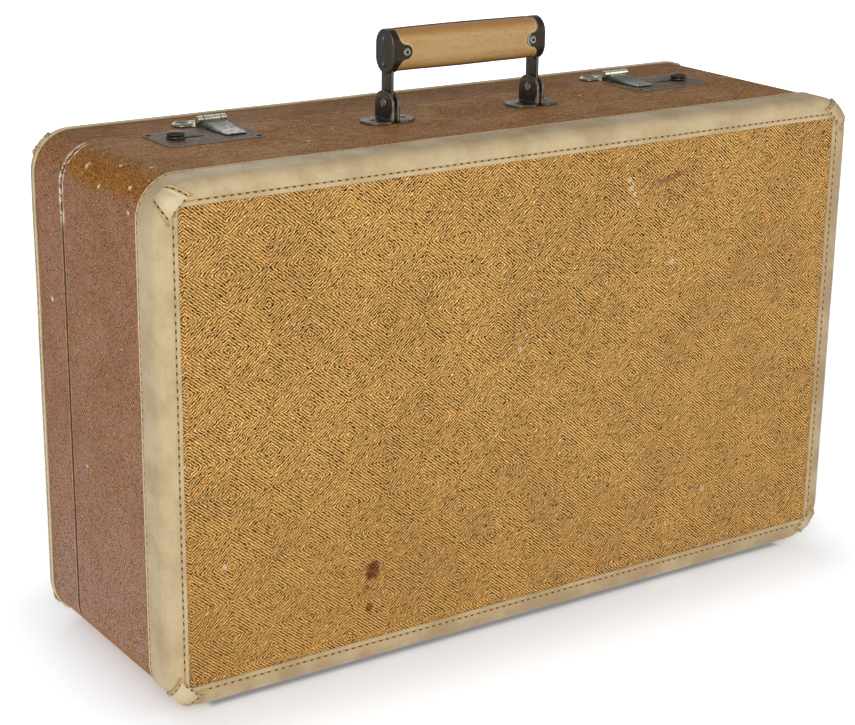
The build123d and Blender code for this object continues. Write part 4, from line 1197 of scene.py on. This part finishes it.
def make_latch_slide(name, side):
    """Turned knob on its stem, with the slider and nose under the plate."""
    build = Build()
    profile = [(2, -3), (2, -0.05), (5.2, 0), (6.4, 0.35), (6.9, 0.9), (6.7, 1.6), (5.9, 2), (5.9, 2.3),
               (6.7, 2.7), (6.9, 3.2), (6.7, 3.8), (6, 4.4), (4.8, 4.9), (3, 5.2), (0.6, 5.3)]
    lathe(build, profile, (side * KNOB[0], KNOB[1], DECK_Z + 1.3), (0, 0, 1), 48)
    (inner, outer), (front, back) = SLIDER_U, SLIDER_Y
    wall, top = 1.2, -0.3
    skirt = (-6, top - wall)
    spans = [(SLIDER_U, SLIDER_Y, (top - wall, top)), ((NOSE_TIP_U, inner), NOSE_Y, NOSE_HEIGHTS)]
    spans += [(SLIDER_U, y, skirt) for y in ((front, front + wall), (back - wall, back))]
    between = (front + wall, back - wall)
    spans += [(u, between, skirt) for u in ((inner, inner + wall), (outer - wall, outer))]
    for span in spans:
        box(build, *deck_box(*span, side))
    build.piece(f"slide_{name}", f"latch_slide_{name}", ["knob"], [f"latch_slide_{name}"], "knob_steel")


def barrel(build, span):
    """One rolled knuckle of the hasp hinge along x, with rounded ends."""
    (low, high), radius, bore, soft = span, HASP_RADIUS, HASP_BORE, 0.35
    profile = [(bore, low), (radius - soft, low), (radius, low + soft), (radius, high - soft),
               (radius - soft, high), (bore, high)]
    verts, segments = [], 28
    for k in range(segments):
        angle = tau * k / segments
        verts.extend((x, HASP_AXIS[0] + r * cos(angle), HASP_AXIS[1] + r * sin(angle)) for r, x in profile)
    build.add(verts, grid_faces(segments, len(profile), wrap_rows=True, wrap_columns=True))


def leaf_height(y):
    """Top of the hasp leaf above the deck: an easy S from the front of the barrel down to a flat tip."""
    stops, heights = zip(*HASP_TOP)
    return sum(np.interp(y + step, stops, heights) for step in (-2.4, -1.2, 0, 1.2, 2.4)) / 5


def make_hasp(name, side):
    """Pressed leaf with turned-down edges, its knuckle, and the hook under it."""
    centre = side * HASP_U
    half_width, tip_half, neck = 11.4, 8.5, 6.6
    outline = ([(-neck, 46.8), (-neck, 44.6), (-half_width, 44), (-half_width, 40)]
               + arc((-tip_half + 3.2, 11.2), 3.2, 190, 270) + arc((tip_half - 3.2, 11.2), 3.2, 270, 350)
               + [(half_width, 40), (half_width, 44), (neck, 44.6), (neck, 46.8)])

    def shape(u, v, w):
        share = min(max((v - 8) / 32, 0), 1)
        half = tip_half + (half_width - tip_half) * share
        rim = max(0, abs(u) / half - 0.7) / 0.3
        crown = -(0.55 + 1.35 * share) * rim * rim if v < 44.2 else 0
        return (centre + u, v, DECK_Z + leaf_height(v) + crown + w - LEAF_SHEET)

    cuts = [((0, 1, 0), np.linspace(9, 46, 32)), ((1, 0, 0), np.linspace(-10.8, 10.8, 23))]
    sheet(f"hasp_leaf_{name}", f"hasp_{name}", ["leaf"], [outline], LEAF_SHEET, 0.22, shape, cuts,
          replaces=[f"hasp_{name}"], slot="nickel")
    build = Build()
    barrel(build, (centre - 6.5, centre + 6.5))
    whole = (HOOK_LOW, HOOK_TOP)
    for y, heights in (((HOOK_Y[0], EYE_Y[0]), whole), ((EYE_Y[1], HOOK_Y[1]), whole),
                       (EYE_Y, (HOOK_LOW, EYE_HEIGHTS[0])), (EYE_Y, (EYE_HEIGHTS[1], HOOK_TOP))):
        box(build, *deck_box((centre - 1, centre + 1), y, heights))
    build.piece(f"hasp_hook_{name}", f"hasp_{name}", ["nickel"], slot="nickel")


def make_hasp_plate(name, side):
    """Plate on the lid with a lobe to the left and the outer knuckles of the barrel."""
    centre = side * HASP_U
    outline = ([(-11.5, 49.6), (12, 49.6)] + arc((8, 66), 4, 0, 90, 6) + [(-7, 70), (-9.8, 68.6)]
               + arc(HASP_LOBE, 8, 48, 292, 22))

    def shape(u, v, w):
        reach = hypot(u - HASP_LOBE[0], v - HASP_LOBE[1])
        rim = 1.7 * exp(-((reach - 6.2) / 1.5) ** 2) if u < -10.5 else 0
        return (centre + u, v, DECK_Z + LIFT_OFF_DECK + w * 0.95 + rim)

    cuts = [((0, 1, 0), np.linspace(50, 69, 20)), ((1, 0, 0), np.linspace(-24, 11, 36))]
    loops = [outline] + [hole(nail, 1.2) for nail in HASP_NAILS]
    sheet(f"hasp_base_{name}", "lid", ["nickel"], loops, 1, 0.25, shape, cuts,
          replaces=[f"hasp_plate_{name}"], slot="nickel")
    build = Build()
    for low, high in ((-11.5, -7.1), (7.1, 11.5)):
        span = (centre + low, centre + high)
        barrel(build, span)
        box(build, span, (48.6, 50.1), (DECK_Z + 0.2, HASP_AXIS[1]))
    build.piece(f"hasp_barrel_{name}", "lid", ["nickel"], slot="nickel")


# ---------------------------------------------------------------- dressing, stage and camera

KEPT_NODES = {
    "frame_wood": ["base_frame", "lid_frame"],
    "board": ["base_panel", "lid_panel"],
    "lining": ["base_lining", "lid_lining"],
    "rail": ["base_tongue_rail"],
    "steel": ["base_feet", "lid_feet", "hinge_pins", "hinge_base_nails", "hinge_lid_nails",
              "hinge_base_leaf_left", "hinge_base_leaf_right", "hinge_lid_leaf_left", "hinge_lid_leaf_right",
              "latch_case_left", "latch_case_right"],
    "gunmetal": ["handle_pivot_pins", "handle_bracket_rivets", "handle_link_rivets"],
    "knob": ["latch_plate_nails"],
    "nickel": ["hasp_plate_nails", "hasp_pins"],
}


def dress_kept_nodes():
    """Gives the CAD nodes that are shown as they are their materials."""
    for key, names in KEPT_NODES.items():
        for name in names:
            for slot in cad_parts[name].material_slots:
                slot.material = MATERIALS[key]


def area_light(name, location, target, size, power):
    light = bpy.data.lights.new(name, "AREA")
    light.shape = "RECTANGLE"
    light.size, light.size_y = size
    light.energy = power
    holder = new_object(name, light)
    holder.location = location
    holder.rotation_euler = (Vector(target) - Vector(location)).to_track_quat("-Z", "Y").to_euler()


def keep_under_lid(ground):
    """Lets the floor down as the lid swings open: it follows the height of a point carried by the lid."""
    marker = new_object("floor_level", None)
    marker.location = Vector((0, LID_SWEEP, 0)) * MM
    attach(marker, "lid")
    level = ground.constraints.new("COPY_LOCATION")
    level.target = marker
    level.use_x = level.use_y = False


def make_floor():
    reach = 14
    mesh = bpy.data.meshes.new("floor")
    mesh.from_pydata([(x * reach, y * reach, 0) for x, y in CORNERS], [], [(0, 1, 2, 3)])
    mesh.materials.append(pale_floor())
    ground = new_object("floor", mesh)
    keep_under_lid(ground)


def make_world():
    """Pale surroundings that look brighter than they shine."""
    world = bpy.data.worlds.new("studio")
    world.use_nodes = True
    tree = world.node_tree
    background = tree.nodes["Background"]
    background.inputs["Color"].default_value = (0.97, 0.98, 1, 1)
    strength = tree.nodes.new("ShaderNodeMapRange")
    strength.inputs["To Min"].default_value = 0.46
    strength.inputs["To Max"].default_value = 1.1
    seen = tree.nodes.new("ShaderNodeLightPath").outputs["Is Camera Ray"]
    tree.links.new(seen, strength.inputs["Value"])
    tree.links.new(strength.outputs["Result"], background.inputs["Strength"])
    bpy.context.scene.world = world
    bpy.context.scene.view_settings.view_transform = "Standard"


def make_camera():
    """Camera above and to the left of the front, with a long lens at about a metre and a half."""
    data = bpy.data.cameras.new("camera")
    data.sensor_fit = "HORIZONTAL"
    data.sensor_width = 36
    data.lens = 85.97
    camera = new_object("camera", data)
    yaw, pitch, roll = 34.09, 18.18, 0.8
    matrix = Matrix.Translation((-0.8635, -1.2361, 0.6759))
    for angle, axis in ((-yaw, "Z"), (90 - pitch, "X"), (roll, "Z")):
        matrix = matrix @ Matrix.Rotation(radians(angle), 4, axis)
    camera.matrix_world = matrix
    bpy.context.scene.camera = camera


# ---------------------------------------------------------------- the object

for half in ("base", "lid"):
    make_side_cover(half)
    make_face_cover(half)
    make_binding(half)
    make_corner_patches(half)
    make_stitching(half)
make_grip()
make_rivet_heads()
for side_name, side_sign in (("left", -1), ("right", 1)):
    make_end_cap(side_name, side_sign)
    make_link(side_name, side_sign)
    make_ear(side_name, side_sign, "outer", side_sign)
    make_ear(side_name, side_sign, "inner", -side_sign)
    make_latch_plate(side_name, side_sign)
    make_latch_slide(side_name, side_sign)
    make_hasp(side_name, side_sign)
    make_hasp_plate(side_name, side_sign)
dress_kept_nodes()
make_floor()
make_world()
for light in LIGHTS:
    area_light(*light)
make_camera()
